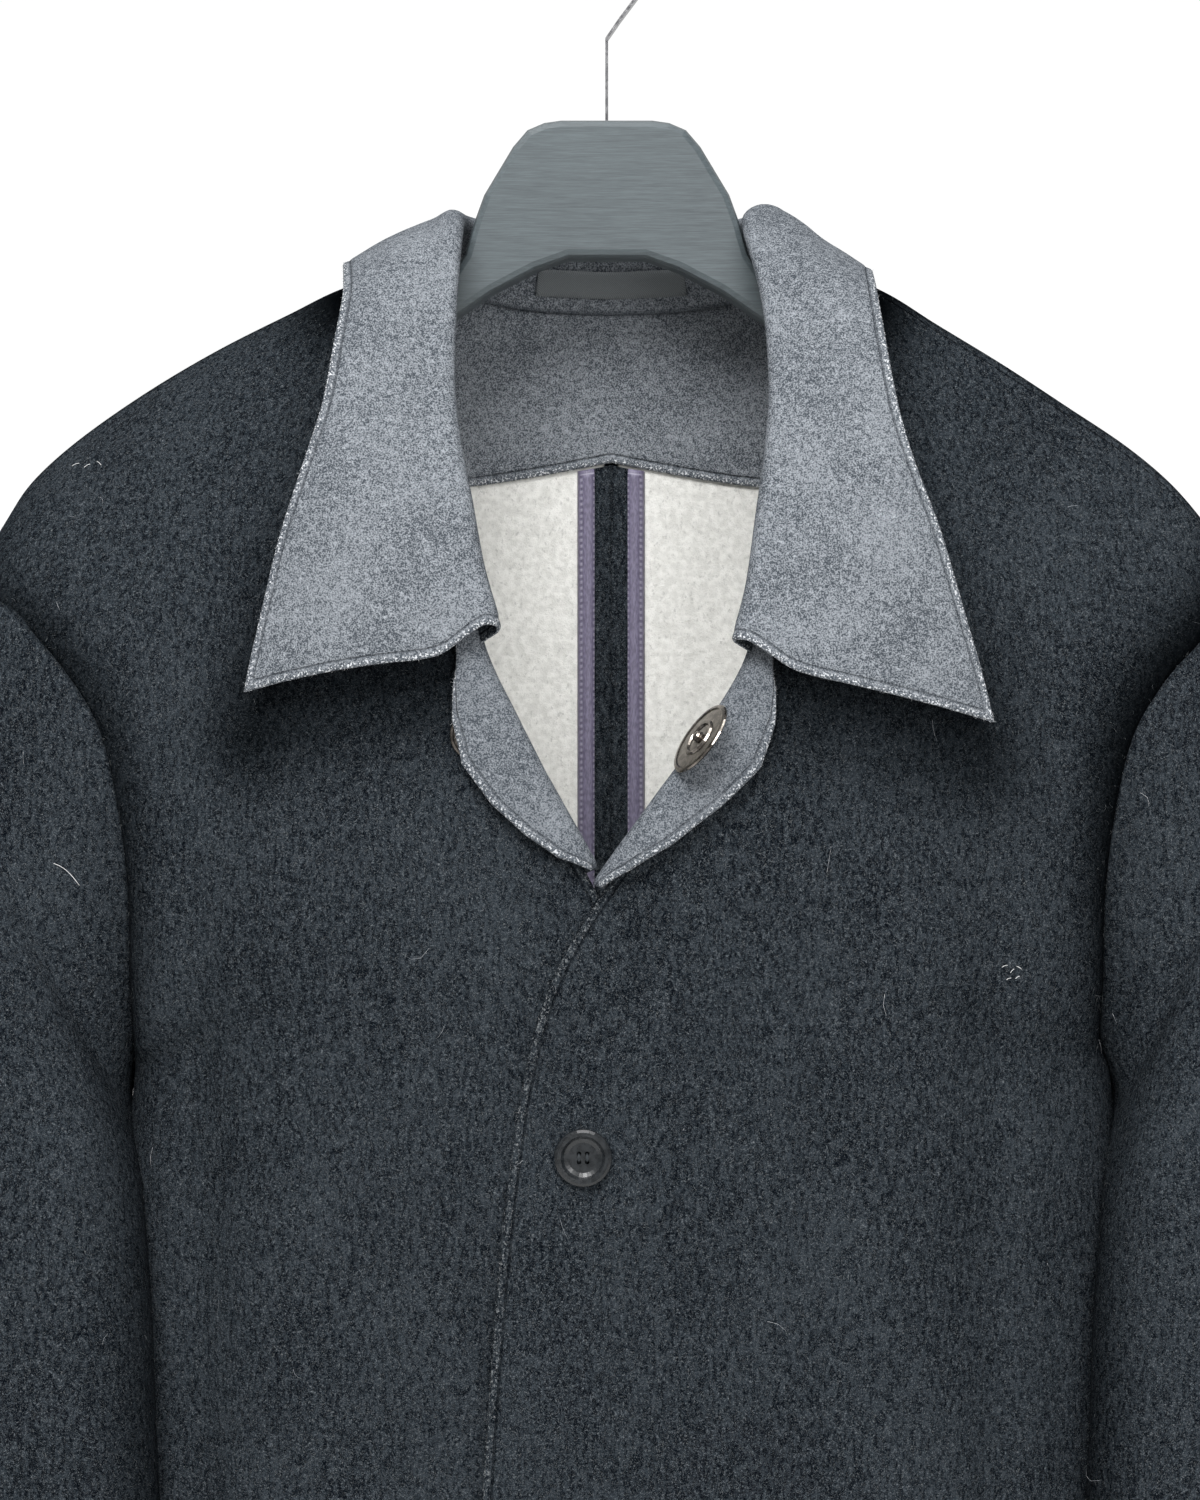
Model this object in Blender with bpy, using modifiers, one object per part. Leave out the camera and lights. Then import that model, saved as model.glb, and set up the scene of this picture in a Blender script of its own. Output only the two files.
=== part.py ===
"""A chore jacket of heavy double-faced wool, hung open at the neck on a wooden hanger.

Every cloth piece is a wall whose inner face is a surface of two parameters. The tables
below give that surface section by section, in millimetres: x is measured outward from
the centre line (so one table serves a left and a right piece), y grows towards the back
and z is measured up from a level SEAT_RISE below the inside top of the hook, which is
the part's origin. The front of the jacket faces -Y.
"""
import math

import bmesh
import bpy
import numpy as np
from mathutils import Vector

MM = 0.001
SEAT_RISE = 20.0         # inside top of the hook above the zero level of the tables
CLOTH = 2.5              # thickness of the coat cloth
COLLAR_CLOTH = 2.0       # thickness of the collar and facing flannel
NEAR = 0.4               # gap between pieces that lie on each other
LEFT, RIGHT = -1, 1      # the viewer's sides

# The shoulder line, seen from the front: the inside of the cloth on the ridge.
SHOULDER_X = (0, 55, 80, 111, 134, 162, 188, 212, 230, 243, 252, 260, 266)
SHOULDER_Z = {LEFT: (-120, -122, -127, -136, -147, -161, -176, -192, -206, -219, -233, -247, -256),
              RIGHT: (-120, -122, -127, -139, -153, -170, -187, -203, -218, -233, -247, -259, -268)}
SHOULDER_SEAM_Y = {LEFT: 5.0, RIGHT: -13.0}
BACK_NECK = dict(x=(0, 30, 52, 68, 76, 80), y=(51, 49, 42, 28, 14, 5),
                 z=(-140.1, -139.1, -136.1, -130.9, -128.2, -128))

# Cross lines of a front, from its neckline, roll line or front edge (in) to the armhole
# or side seam (out). square is the power of the oval that the line follows in plan.
# columns: in_x in_y in_z out_x out_y out_z square
FRONT_ROWS = {
    LEFT: ((80, 5, -127, 266, 5, -256, 2.0),
           (80, -10, -133, 264, -10, -259, 2.0),
           (78, -24, -146, 256, -24, -266, 2.0),
           (77, -36, -165, 240, -36, -277, 2.0),
           (76, -48, -192, 224, -44, -292, 2.0),
           (74, -58, -222, 207, -48, -318, 2.0),
           (68, -67, -256, 198, -48, -352, 2.2),
           (58, -74, -292, 194, -44, -387, 2.4),
           (41, -77, -322, 194, -36, -422, 2.5),
           (24, -78, -352, 194, -22, -448, 2.6),
           (6, -78, -385, 194, -0.6, -464, 2.6),
           (-12, -77, -425, 194, -0.6, -505, 2.6),
           (-24, -76, -490, 194, -0.6, -560, 2.7),
           (-30, -75, -600, 194, -0.6, -640, 2.7),
           (-32, -74, -740, 196, -0.6, -752, 2.7),
           (-33, -73, -874, 199, -0.6, -868, 2.7)),
    RIGHT: ((80, -13, -127, 260, -13, -268, 2.0),
            (79, -20, -135, 257, -20, -271, 2.0),
            (77, -29, -149, 250, -28, -277, 2.0),
            (76, -39, -168, 238, -37, -287, 2.0),
            (75, -50, -194, 224, -44, -300, 2.0),
            (73, -60, -224, 210, -48, -322, 2.0),
            (67, -69, -258, 202, -48, -352, 2.2),
            (59, -76, -294, 198, -44, -387, 2.4),
            (40, -80, -324, 198, -36, -422, 2.5),
            (18, -82, -354, 198, -22, -448, 2.6),
            (-6, -82, -388, 198, -0.6, -464, 2.6),
            (-27, -82, -428, 198, -0.6, -505, 2.6),
            (-40, -81, -490, 198, -0.6, -560, 2.7),
            (-50, -81, -600, 198, -0.6, -640, 2.7),
            (-57, -81, -740, 200, -0.6, -752, 2.7),
            (-60, -80, -874, 203, -0.6, -868, 2.7)),
}
UNDERARM_ROW = 10
HEM_ROW = 15

# columns: in_x in_y in_z out_x out_y out_z square
BACK_ROWS = ((0, 51, -145, 264, 5, -256, 2.0),
             (0, 54, -165, 262, 14, -262, 2.0),
             (0, 57, -195, 246, 27, -274, 2.0),
             (0, 60, -235, 226, 37, -298, 2.0),
             (0, 62, -285, 207, 41, -334, 2.1),
             (0, 63, -335, 197, 38, -376, 2.3),
             (0, 64, -385, 195, 28, -416, 2.5),
             (0, 64, -430, 194, 14, -446, 2.6),
             (0, 64, -455, 194, 0.6, -464, 2.6),
             (0, 63, -500, 194, 0.6, -505, 2.7),
             (0, 63, -560, 194, 0.6, -560, 2.7),
             (0, 62, -640, 194, 0.6, -640, 2.7),
             (0, 61, -752, 196, 0.6, -752, 2.7),
             (0, 60, -876, 199, 0.6, -868, 2.7))
BACK_UNDERARM_ROW = 8

# Rings of a sleeve below its armhole: the outer point, the inner point and half the depth.
# columns: out_x out_y out_z in_x in_y in_z half_depth
SLEEVE_ROWS = ((280, -1, -274, 202, -8.5, -473, 40),
               (298, -4, -305, 199, -23, -486, 41),
               (313, -8, -348, 195, -38, -503, 40),
               (324, -12, -402, 192, -48, -526, 38),
               (331, -16, -462, 189, -54, -558, 37),
               (334, -20, -532, 187, -57, -604, 36),
               (333, -26, -612, 184, -58, -662, 35),
               (328, -32, -702, 183, -60, -732, 35),
               (320, -38, -790, 184, -60, -802, 35),
               (313, -42, -842, 186, -60, -848, 34))
SLEEVE_SHIFT = {LEFT: (0.0, 0.0), RIGHT: (-4.0, 9.0)}      # added to out_x and in_x
SLEEVE_SEAMS = (1.12, 1.45)      # where round the ring the two sleeve pieces meet

# Stations of the collar, from the centre back to the notch: where it is sewn (neck),
# the top of its stand (roll) and its outer edge.
# columns: neck_x neck_y neck_z roll_x roll_y roll_z edge_x edge_y edge_z belly
COLLAR_ROWS = {
    LEFT: ((0, 49, -142, 0, 45, -112, 0, 70, -168, 3),
           (30, 47, -141, 28, 43, -111, 42, 67, -164, 3),
           (52, 40, -138, 47, 33, -110, 76, 52, -153, 3),
           (67, 27, -133, 58, 18, -109, 99, 30, -139, 3),
           (75, 13, -128, 63, 2, -109, 110, 6, -129, 4),
           (78, -3, -126, 64, -18, -115, 110, -23, -131, 4),
           (79, -18, -134, 65, -34, -131, 109, -45, -144, 5),
           (78, -32, -150, 66, -45, -152, 112, -59, -165, 5),
           (77, -45, -178, 66, -57, -181, 116, -67, -190, 6),
           (75, -55, -206, 63, -66, -207, 123, -73, -214, 7),
           (72, -64, -234, 59, -73, -230, 132, -76, -243, 7),
           (66, -70, -260, 54, -79, -256, 138, -77, -268, 7),
           (61, -74, -279, 49, -82, -274, 144, -77, -294, 7),
           (58, -76, -289, 47, -84, -282, 146, -77, -305, 7)),
    RIGHT: ((0, 49, -142, 0, 45, -112, 0, 70, -168, 3),
            (30, 47, -141, 28, 43, -111, 42, 67, -164, 3),
            (52, 40, -138, 45, 33, -110, 76, 52, -153, 3),
            (67, 27, -133, 53, 18, -110, 99, 30, -140, 3),
            (75, 13, -128, 56, 2, -109, 107, 6, -131, 4),
            (78, -3, -126, 58, -18, -117, 107, -26, -134, 4),
            (79, -22, -136, 62, -35, -133, 108, -48, -147, 5),
            (78, -35, -152, 65, -47, -153, 111, -62, -170, 5),
            (77, -48, -180, 66, -59, -182, 115, -71, -194, 6),
            (75, -58, -208, 64, -68, -208, 121, -77, -216, 7),
            (71, -66, -236, 60, -76, -236, 130, -81, -241, 7),
            (66, -72, -262, 56, -82, -262, 139, -83, -272, 7),
            (61, -77, -281, 52, -86, -278, 147, -83, -300, 7),
            (59, -79, -291, 50, -88, -286, 151, -83, -317, 7)),
}
COLLAR_STAND_END, COLLAR_FOLD_END = 0.22, 0.42      # shares of the collar's width
COLLAR_FOLD = 4.0        # radius of the fold along the top of the stand
COLLAR_CLEARANCE = 5.6   # from the body to the hidden face of the fall

# Where the grid lines of the pieces run; pieces that lie on each other share them.
SIDE_EDGE = 0.9995       # share across a panel where it ends at the armhole or side seam
FRONT_ACROSS = (0.002, 0.055, 0.11, 0.20, 0.31, 0.42, 0.53, 0.64, 0.74, 0.84, 0.93, SIDE_EDGE)
FRONT_LEVELS = (0, 0.35, 0.7, 1, 1.5, 2, 2.5, 3, 4, 5, 6, 7, 7.35, 7.7, 8, 8.35, 8.7, 9, 9.35, 9.7, 10,
                10.5, 11, 12, 13, 14, 15)
BACK_ACROSS = (0.0006, 0.065, 0.13, 0.19, 0.30, 0.42, 0.54, 0.66, 0.78, 0.90, SIDE_EDGE)
BACK_LEVELS = (0.03, 0.4, 1, 1.6, 2.27, 3, 4, 5, 6, 7, 8, 9, 10, 11, 12, 13)
SLEEVE_LEVELS = (0.02, 0.4, 0.7, 1, 1.5, 2, 2.6, 3.3, 4, 5, 6, 7, 8, 9, 10)
COLLAR_SHARES = (0.02, 0.12, 0.22, 0.27, 0.32, 0.37, 0.42, 0.56, 0.70, 0.85, 0.975, 1.0)
LAPEL_SHARES = (-1, -0.5, 0, 0.1, 0.2, 0.3, 0.4, 0.5, 0.75, 1.0)

# The turned back edge of each front, from the notch to the foot of the neck opening.
# Jut is how far its roll stands inward of the front's edge, to carry on the collar's roll.
# columns: row width turn jut
LAPEL_ROWS = {
    LEFT: ((7.15, 14, 180, 6), (7.5, 20, 180, 4), (8.0, 23, 178, 1), (8.6, 20, 174, 0),
           (9.1, 15, 168, 0), (9.5, 10, 150, 0), (9.75, 6, 110, 0)),
    RIGHT: ((7.15, 14, 180, 5), (7.5, 18, 180, 1.5), (8.0, 22, 178, 0), (8.6, 19, 172, 0),
            (9.2, 13, 165, 0), (9.6, 7, 150, 0), (9.85, 4, 120, 0)),
}
LAPEL_SLANT = 0.16       # rows by which its top end rises from its free edge to the roll
LAPEL_ROLL = 4.6         # radius of the soft roll
LAPEL_INSIDE = 0.11      # share of the front that the facing covers behind the roll

FACING_END = 2.27        # row of the backs where their neck facing ends
ALLOWANCE_WIDTH = 7.2    # each open allowance of the centre back seam
BINDING_WIDTH = 5.4      # bias tape bound round the edge of each allowance
BINDING_THICK = 3.0
LOOP_THICK = 1.2

BUTTON_RADIUS = 11.6
BUTTON_THICK = 4.2
BUTTON_X = -11.5
BUTTON_Z = (-489.5, -642.0, -794.0)
BUTTON_HOLE = 0.95
BUTTON_HOLE_RING = 2.3

SNAP_RADIUS = 15.6
SNAP_CENTRE = (35.2, -92.5, -323.8)
SNAP_FACES = (-0.77, -0.32, 0.55)
SOCKET_CENTRE = (-54.0, -80.0, -322.0)
SOCKET_SIZE = 0.66       # of the stud's plate
SOCKET_FACES = (0.0, -1.0, 0.0)

HANGER_THICK = 20.0
HANGER_OUTLINE = (
    (19, -66), (26, -67), (33, -70), (39, -77), (51, -97), (55, -108), (59, -122), (68, -136),
    (90, -152.5), (112, -165.5), (134, -179.0), (162, -196.5), (188, -215.5), (200, -227), (203, -236),
    (196, -243), (180, -238), (150, -219), (120, -197), (92, -172), (69, -152), (48, -137.5),
    (30, -128), (16, -123))
HANGER_EDGE = 3.0        # rounding of its edges
HANGER_SHIFT = -2.0
HOOK_STRIP = (1.2, 6.5)  # thickness seen from the front, and depth
HOOK_RADIUS = 19.0
HOOK_X = -2.0

COLOURS = {
    "coat": (0.030, 0.037, 0.043), "flannel": (0.20, 0.22, 0.24), "tape": (0.09, 0.10, 0.10),
    "binding": (0.14, 0.13, 0.19), "wood": (0.085, 0.105, 0.115), "steel": (0.55, 0.55, 0.56),
    "gunmetal": (0.32, 0.31, 0.30), "horn": (0.030, 0.032, 0.035),
}


# ---------------------------------------------------------------- surfaces

def unit(vector):
    """Vectors of length one."""
    return vector / np.linalg.norm(vector, axis=-1, keepdims=True)


def normal(surface, u, v, sign):
    """The direction square to a surface, from two short steps along it."""
    step = 0.004
    along_u = surface(u + step, v) - surface(u - step, v)
    along_v = surface(u, v + step) - surface(u, v - step)
    return unit(np.cross(along_u, along_v)) * sign


def moved(surface, u, v, distance, sign):
    """Points of a surface moved out of it."""
    return surface(u, v) + distance * normal(surface, u, v, sign)


def along(table, place):
    """Rows of a table at fractional row numbers, on a smooth curve through the rows."""
    rows = np.array(table, dtype=float)
    place = np.clip(np.asarray(place, dtype=float), 0, len(rows) - 1)
    low = np.minimum(place.astype(int), len(rows) - 2)
    t = (place - low)[..., None]
    before, after = np.maximum(low - 1, 0), np.minimum(low + 2, len(rows) - 1)
    a, b, c, d = rows[before], rows[low], rows[low + 1], rows[after]
    return b + 0.5 * t * (c - a + t * (2 * a - 5 * b + 4 * c - d + t * (3 * (b - c) + d - a)))


def oval_line(cells, across):
    """A cross line: a quarter oval in plan from (in) at across=0 to (out) at across=1."""
    start, end, square = cells[..., 0:3], cells[..., 3:6], cells[..., 6]
    run = np.sin(0.5 * np.pi * across)
    rise = np.power(np.clip(1 - np.power(np.abs(run), square), 0, 1), 1 / square)
    point = start + (end - start) * run[..., None]
    point[..., 1] = end[..., 1] + (start[..., 1] - end[..., 1]) * rise
    return point


def front(side, across, row):
    """The inner face of a front at a share across it and a row of its table."""
    cells = along(FRONT_ROWS[side], row)
    point = oval_line(cells, across)
    top = oval_line(along(FRONT_ROWS[side], np.zeros_like(row)), across)
    fade = np.clip(1 - row / 5.0, 0, 1) ** 1.6
    point[..., 2] += (np.interp(top[..., 0], SHOULDER_X, SHOULDER_Z[side]) - top[..., 2]) * fade
    point[..., 0] *= side
    return point


def back(side, across, row):
    """The inner face of a back half: its top follows the back neck and the shoulder."""
    cells = along(BACK_ROWS, row)
    if side == RIGHT:
        cells[..., 3] += np.where(row < 2, -4, 4 * np.clip((row - 5) / 3, 0, 1))
    point = oval_line(cells, across)
    x = point[..., 0]
    top_z = np.where(x < 80, np.interp(x, BACK_NECK["x"], BACK_NECK["z"]),
                     np.interp(x, SHOULDER_X, SHOULDER_Z[side]))
    top_y = np.where(x < 80, np.interp(x, BACK_NECK["x"], BACK_NECK["y"]), SHOULDER_SEAM_Y[side])
    plain = oval_line(along(BACK_ROWS, np.zeros_like(row)), across)
    fade = np.clip(1 - row / 4.0, 0, 1) ** 1.7
    point[..., 1] += (top_y - plain[..., 1]) * fade
    point[..., 2] += (top_z - plain[..., 2]) * fade
    point[..., 0] *= side
    return point


def armhole(side, ring):
    """The armhole, from the shoulder tip (0) down the front to the underarm (1) and up the back (2)."""
    edge = np.ones_like(ring)
    front_row = np.clip(ring, 0, 1) * UNDERARM_ROW
    back_row = np.clip(2 - ring, 0, 1) * BACK_UNDERARM_ROW
    by_front = moved(lambda u, v: front(side, u, v), edge * SIDE_EDGE, front_row, CLOTH + NEAR, -side)
    by_back = moved(lambda u, v: back(side, u, v), edge * SIDE_EDGE, back_row, CLOTH + NEAR, side)
    loop = np.where((ring <= 1)[..., None], by_front, by_back)
    loop[..., 0] += side * CLOTH * np.abs(np.cos(np.pi * ring)) ** 6
    return loop


def sleeve(side, ring, place):
    """The inner face of a sleeve: from the armhole (place 0) through the rings of its table."""
    shift_out, shift_in = SLEEVE_SHIFT[side]
    rings = [armhole(side, ring)]
    turn = np.pi * ring
    for out_x, out_y, out_z, in_x, in_y, in_z, half_depth in SLEEVE_ROWS:
        outer = np.array((out_x + shift_out, out_y, out_z), dtype=float)
        inner = np.array((in_x + shift_in, in_y, in_z), dtype=float)
        middle, arm = (outer + inner) / 2, (outer - inner) / 2
        forward = np.array((0.0, -1.0, 0.0))
        forward -= arm * (forward @ arm) / (arm @ arm)
        forward /= np.linalg.norm(forward)
        point = (middle + np.cos(turn)[..., None] * arm
                 + (np.sin(turn) * half_depth)[..., None] * forward)
        point[..., 0] *= side
        rings.append(point)
    rings = np.array(rings)
    low = np.clip(place.astype(int), 0, len(rings) - 2)
    t = (place - low)[..., None]
    pick = np.arange(ring.size).reshape(ring.shape)
    flat = rings.reshape(len(rings), -1, 3)
    a, b = flat[np.maximum(low - 1, 0), pick], flat[low, pick]
    c, d = flat[low + 1, pick], flat[np.minimum(low + 2, len(rings) - 1), pick]
    return b + 0.5 * t * (c - a + t * (2 * a - 5 * b + 4 * c - d + t * (3 * (b - c) + d - a)))


def lapel(side, share, row, radius):
    """A strip that starts behind a front (share -1), turns round its roll line (0 to 0.5)
    and lies on the front (0.5 to 1)."""
    table = np.array(LAPEL_ROWS[side], dtype=float)
    width = np.interp(row, table[:, 0], table[:, 1])
    turn = np.radians(np.interp(row, table[:, 0], table[:, 2]))
    jut = np.interp(row, table[:, 0], table[:, 3])
    row = row - LAPEL_SLANT * np.clip(1 - np.abs(share), 0, 1) * np.clip((8 - row) / 0.85, 0, 1)
    here = np.zeros_like(row)
    start = front(side, here, row)
    inward = unit(front(side, here + 0.10, row) - start)
    out = normal(lambda u, v: front(side, u, v), here + 0.04, row, -side)
    centre = start + out * (LAPEL_ROLL - NEAR - COLLAR_CLOTH / 2) - jut[..., None] * inward
    behind = moved(lambda u, v: front(side, u, v), np.clip(-share, 0, 1) * LAPEL_INSIDE, row, -NEAR, -side)
    bend = np.clip(share / 0.5, 0, 1) * turn
    tail = np.clip(share / 0.5 - 1, 0, 1) * width
    ring = -np.sin(bend)[..., None] * inward - np.cos(bend)[..., None] * out
    run = -np.cos(bend)[..., None] * inward + np.sin(bend)[..., None] * out
    turned = centre + radius * ring + tail[..., None] * run
    return np.where((share < 0)[..., None], behind, turned)


def collar(station, share):
    """The hidden face of the collar: up the stand, over the fold and down the fall."""
    cells = np.where((station < 0)[..., None], along(COLLAR_ROWS[LEFT], -station),
                     along(COLLAR_ROWS[RIGHT], station))
    side = np.where(station < 0, -1.0, 1.0)
    neck, roll, edge, belly = cells[..., 0:3], cells[..., 3:6], cells[..., 6:9], cells[..., 9]
    rise = unit(roll - neck)
    fall = edge - roll
    out = unit(fall - rise * np.sum(fall * rise, axis=-1)[..., None])
    up = np.clip(share / COLLAR_STAND_END, 0, 1)[..., None]
    fold = np.pi * np.clip((share - COLLAR_STAND_END) / (COLLAR_FOLD_END - COLLAR_STAND_END), 0, 1)
    down = np.clip((share - COLLAR_FOLD_END) / (1 - COLLAR_FOLD_END), 0, 1)[..., None]
    point = neck + (roll - neck) * up
    point += COLLAR_FOLD * ((1 - np.cos(fold))[..., None] * out + np.sin(fold)[..., None] * rise)
    point += (edge - roll - 2 * COLLAR_FOLD * out) * down
    point += (belly * np.sin(np.pi * down[..., 0]))[..., None] * out
    point[..., 0] *= side
    return point


def lie_on(points, ground, ground_normal, clearance):
    """Move points out until they are clear of the cloth they lie on."""
    flat = points.reshape(-1, 3).copy()
    for _ in range(3):
        for start in range(0, len(flat), 500):
            block = flat[start:start + 500]
            distance = np.linalg.norm(block[:, None, :] - ground[None, :, :], axis=-1)
            nearest = np.argmin(distance, axis=1)
            height = np.sum((block - ground[nearest]) * ground_normal[nearest], axis=-1)
            push = np.clip(clearance - height, 0, 12)
            block += push[:, None] * ground_normal[nearest]
    return flat.reshape(points.shape)


def body_ground():
    """Points and directions of the outside of the fronts and backs near the collar."""
    across, row = np.meshgrid(np.linspace(0.0, 0.99, 50), np.linspace(0.0, 9.0, 90))
    points, directions = [], []
    for side in (LEFT, RIGHT):
        for surface, sign in ((front, -side), (back, side)):
            def here(u, v, chosen=surface, at=side):
                return chosen(at, u, v)
            points.append(moved(here, across, row, CLOTH, sign).reshape(-1, 3))
            directions.append(normal(here, across, row, sign).reshape(-1, 3))
    return np.concatenate(points), np.concatenate(directions)


# ---------------------------------------------------------------- making objects

def colour(name, roughness=0.9, metallic=0.0):
    """One Principled material for a piece."""
    material = bpy.data.materials.new(name)
    material.use_nodes = True
    shader = material.node_tree.nodes["Principled BSDF"]
    shader.inputs["Base Color"].default_value = (*COLOURS[name], 1.0)
    shader.inputs["Roughness"].default_value = roughness
    shader.inputs["Metallic"].default_value = metallic
    return material


def to_metres(points):
    """From the tables' millimetres to the part's own frame."""
    return (points - np.array((0.0, 0.0, SEAT_RISE))) * MM


def new_object(name, mesh, material):
    """An object of the jacket's collection."""
    thing = bpy.data.objects.new(name, mesh)
    thing.data.materials.append(material)
    bpy.data.collections["chore_jacket"].objects.link(thing)
    return thing


def wall(name, surface, u_lines, v_lines, sign, thickness, material, start=0.0):
    """A cloth piece: a grid whose lines lie on a surface, then given its thickness outward."""
    shape = bmesh.new()
    columns, rows = len(u_lines), len(v_lines)
    bmesh.ops.create_grid(shape, x_segments=columns - 1, y_segments=rows - 1, size=1.0)
    flat = np.array([vertex.co[:2] for vertex in shape.verts])
    u = np.asarray(u_lines, dtype=float)[np.rint((flat[:, 0] + 1) / 2 * (columns - 1)).astype(int)]
    v = np.asarray(v_lines, dtype=float)[np.rint((flat[:, 1] + 1) / 2 * (rows - 1)).astype(int)]
    points = to_metres(moved(surface, u, v, start, sign))
    for vertex, place in zip(shape.verts, points):
        vertex.co = place
    if sign < 0:
        bmesh.ops.reverse_faces(shape, faces=shape.faces)
    mesh = bpy.data.meshes.new(name)
    shape.to_mesh(mesh)
    shape.free()
    mesh.shade_smooth()
    thing = new_object(name, mesh, material)
    solid = thing.modifiers.new("thickness", 'SOLIDIFY')
    solid.thickness = thickness * MM
    solid.offset = 1.0
    return thing


def side_name(side):
    return "left" if side == LEFT else "right"


def make_fronts(coat):
    """Two fronts; the viewer's right one laps over the left one."""
    for side in (LEFT, RIGHT):
        wall("front_" + side_name(side), lambda u, v, at=side: front(at, u, v),
             FRONT_ACROSS, FRONT_LEVELS, -side, CLOTH, coat)


def make_backs(coat):
    """Two back halves, which meet at the centre back seam."""
    for side in (LEFT, RIGHT):
        wall("back_" + side_name(side), lambda u, v, at=side: back(at, u, v),
             BACK_ACROSS, BACK_LEVELS, side, CLOTH, coat)


def make_sleeves(coat):
    """Each sleeve is an upper piece round its outside and an under piece along the body."""
    first, second = SLEEVE_SEAMS
    half_gap = 0.0022
    lines = np.concatenate((np.arange(UNDERARM_ROW) / UNDERARM_ROW,
                            2 - np.arange(BACK_UNDERARM_ROW, 0, -1) / BACK_UNDERARM_ROW))
    under = [line for line in lines if first + 0.03 < line < second - 0.03]
    upper = [line - 2 for line in lines if line > second + 0.03] + [x for x in lines if x < first - 0.03]
    for side in (LEFT, RIGHT):
        def here(u, v, at=side):
            return sleeve(at, np.mod(u, 2.0), v)
        wall("sleeve_upper_" + side_name(side), here,
             [second - 2 + half_gap] + upper + [first - half_gap], SLEEVE_LEVELS, side, CLOTH, coat)
        wall("sleeve_under_" + side_name(side), here,
             [first + half_gap] + under + [second - half_gap], SLEEVE_LEVELS, side, CLOTH, coat)


def net_surface(net, u_range, v_range):
    """A smooth surface through a net of points."""
    def surface(u, v):
        at_u = (u - u_range[0]) / (u_range[1] - u_range[0]) * (net.shape[0] - 1)
        at_v = (v - v_range[0]) / (v_range[1] - v_range[0]) * (net.shape[1] - 1)
        low = np.clip(np.floor(at_v).astype(int), 0, net.shape[1] - 2)
        t = (at_v - low)[..., None]
        flat = net.reshape(net.shape[0], -1)
        lines = along(flat, at_u).reshape(*at_u.shape, net.shape[1], 3)

        def line(k):
            return np.take_along_axis(lines, np.clip(k, 0, net.shape[1] - 1)[..., None, None], -2)[..., 0, :]
        a, b, c, d = line(low - 1), line(low), line(low + 1), line(low + 2)
        return b + 0.5 * t * (c - a + t * (2 * a - 5 * b + 4 * c - d + t * (3 * (b - c) + d - a)))
    return surface


def settled_collar():
    """The collar's surface, its fall lifted clear of the body."""
    ground, directions = body_ground()
    last = len(COLLAR_ROWS[LEFT]) - 1
    station, share = np.meshgrid(np.linspace(-last, last, 4 * last + 1), np.linspace(0, 1, 21),
                                 indexing="ij")
    free = collar(station, share)
    laid = lie_on(free, ground, directions, COLLAR_CLEARANCE)
    lift = (laid - free) * np.clip((share - COLLAR_STAND_END) / 0.2, 0, 1)[..., None]
    for _ in range(2):
        lift[1:-1] = (lift[:-2] + 2 * lift[1:-1] + lift[2:]) / 4
        lift[:, 1:-1] = (lift[:, :-2] + 2 * lift[:, 1:-1] + lift[:, 2:]) / 4
    return net_surface(free + lift, (-last, last), (0, 1)), last


def make_collar(flannel, coat, tape):
    """The collar, flannel over an undercollar, from notch to notch, and the hanger loop."""
    surface, last = settled_collar()
    stations = np.linspace(-last, last, 37)
    wall("collar", surface, stations, COLLAR_SHARES, 1, COLLAR_CLOTH, flannel)
    wall("undercollar", surface, stations[1:-1], COLLAR_SHARES[6:-1], 1, COLLAR_CLOTH, coat,
         start=-(NEAR + COLLAR_CLOTH))
    middle = len(stations) // 2
    loop = [-1.1, *stations[middle - 1:middle + 2], 1.1]
    wall("hanger_loop", surface, loop, (0.066, 0.10, 0.136), 1, LOOP_THICK, tape,
         start=COLLAR_CLOTH + 3 * NEAR)


def make_lapels(flannel, coat):
    """The facings that show where the fronts roll open, and the turned edge under them."""
    for side in (LEFT, RIGHT):
        first, last = LAPEL_ROWS[side][0][0], LAPEL_ROWS[side][-1][0]
        rows = [first] + [row for row in FRONT_LEVELS if first < row < last] + [last]
        wall("facing_" + side_name(side),
             lambda u, v, at=side: lapel(at, u, v, LAPEL_ROLL - COLLAR_CLOTH / 2),
             LAPEL_SHARES, rows, -side, COLLAR_CLOTH, flannel)


def back_both(across, row):
    """The inside of the two backs; across is negative on the left one."""
    share = np.abs(across)
    return np.where((across < 0)[..., None], back(LEFT, share, row), back(RIGHT, share, row))


def back_strip(x, row):
    """The inside of the two backs, by the distance from their centre seam."""
    out_x = along(BACK_ROWS, row)[..., 3]
    return back_both(2 / np.pi * np.arcsin(np.clip(x / out_x, -0.98, 0.98)), row)


def make_back_inside(flannel, coat, tape):
    """What shows inside the back: its neck facing and the bound centre seam."""
    columns = [-across for across in BACK_ACROSS[3:0:-1]] + [0.0] + list(BACK_ACROSS[1:4])
    rows = [row for row in BACK_LEVELS if row <= FACING_END]
    wall("neck_facing", back_both, columns, rows, -1, COLLAR_CLOTH, flannel, start=NEAR)
    rows = [FACING_END + 0.05] + [row for row in BACK_LEVELS if row > FACING_END + 0.1]
    for side in (LEFT, RIGHT):
        edges = sorted((side * 0.3, side * ALLOWANCE_WIDTH))
        wall("seam_allowance_" + side_name(side), back_strip, edges, rows, -1, CLOTH, coat,
             start=NEAR)
        edges = sorted((side * (ALLOWANCE_WIDTH + 0.4), side * (ALLOWANCE_WIDTH + BINDING_WIDTH)))
        wall("binding_" + side_name(side), back_strip, edges, rows, -1, BINDING_THICK, tape,
             start=NEAR)


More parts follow.
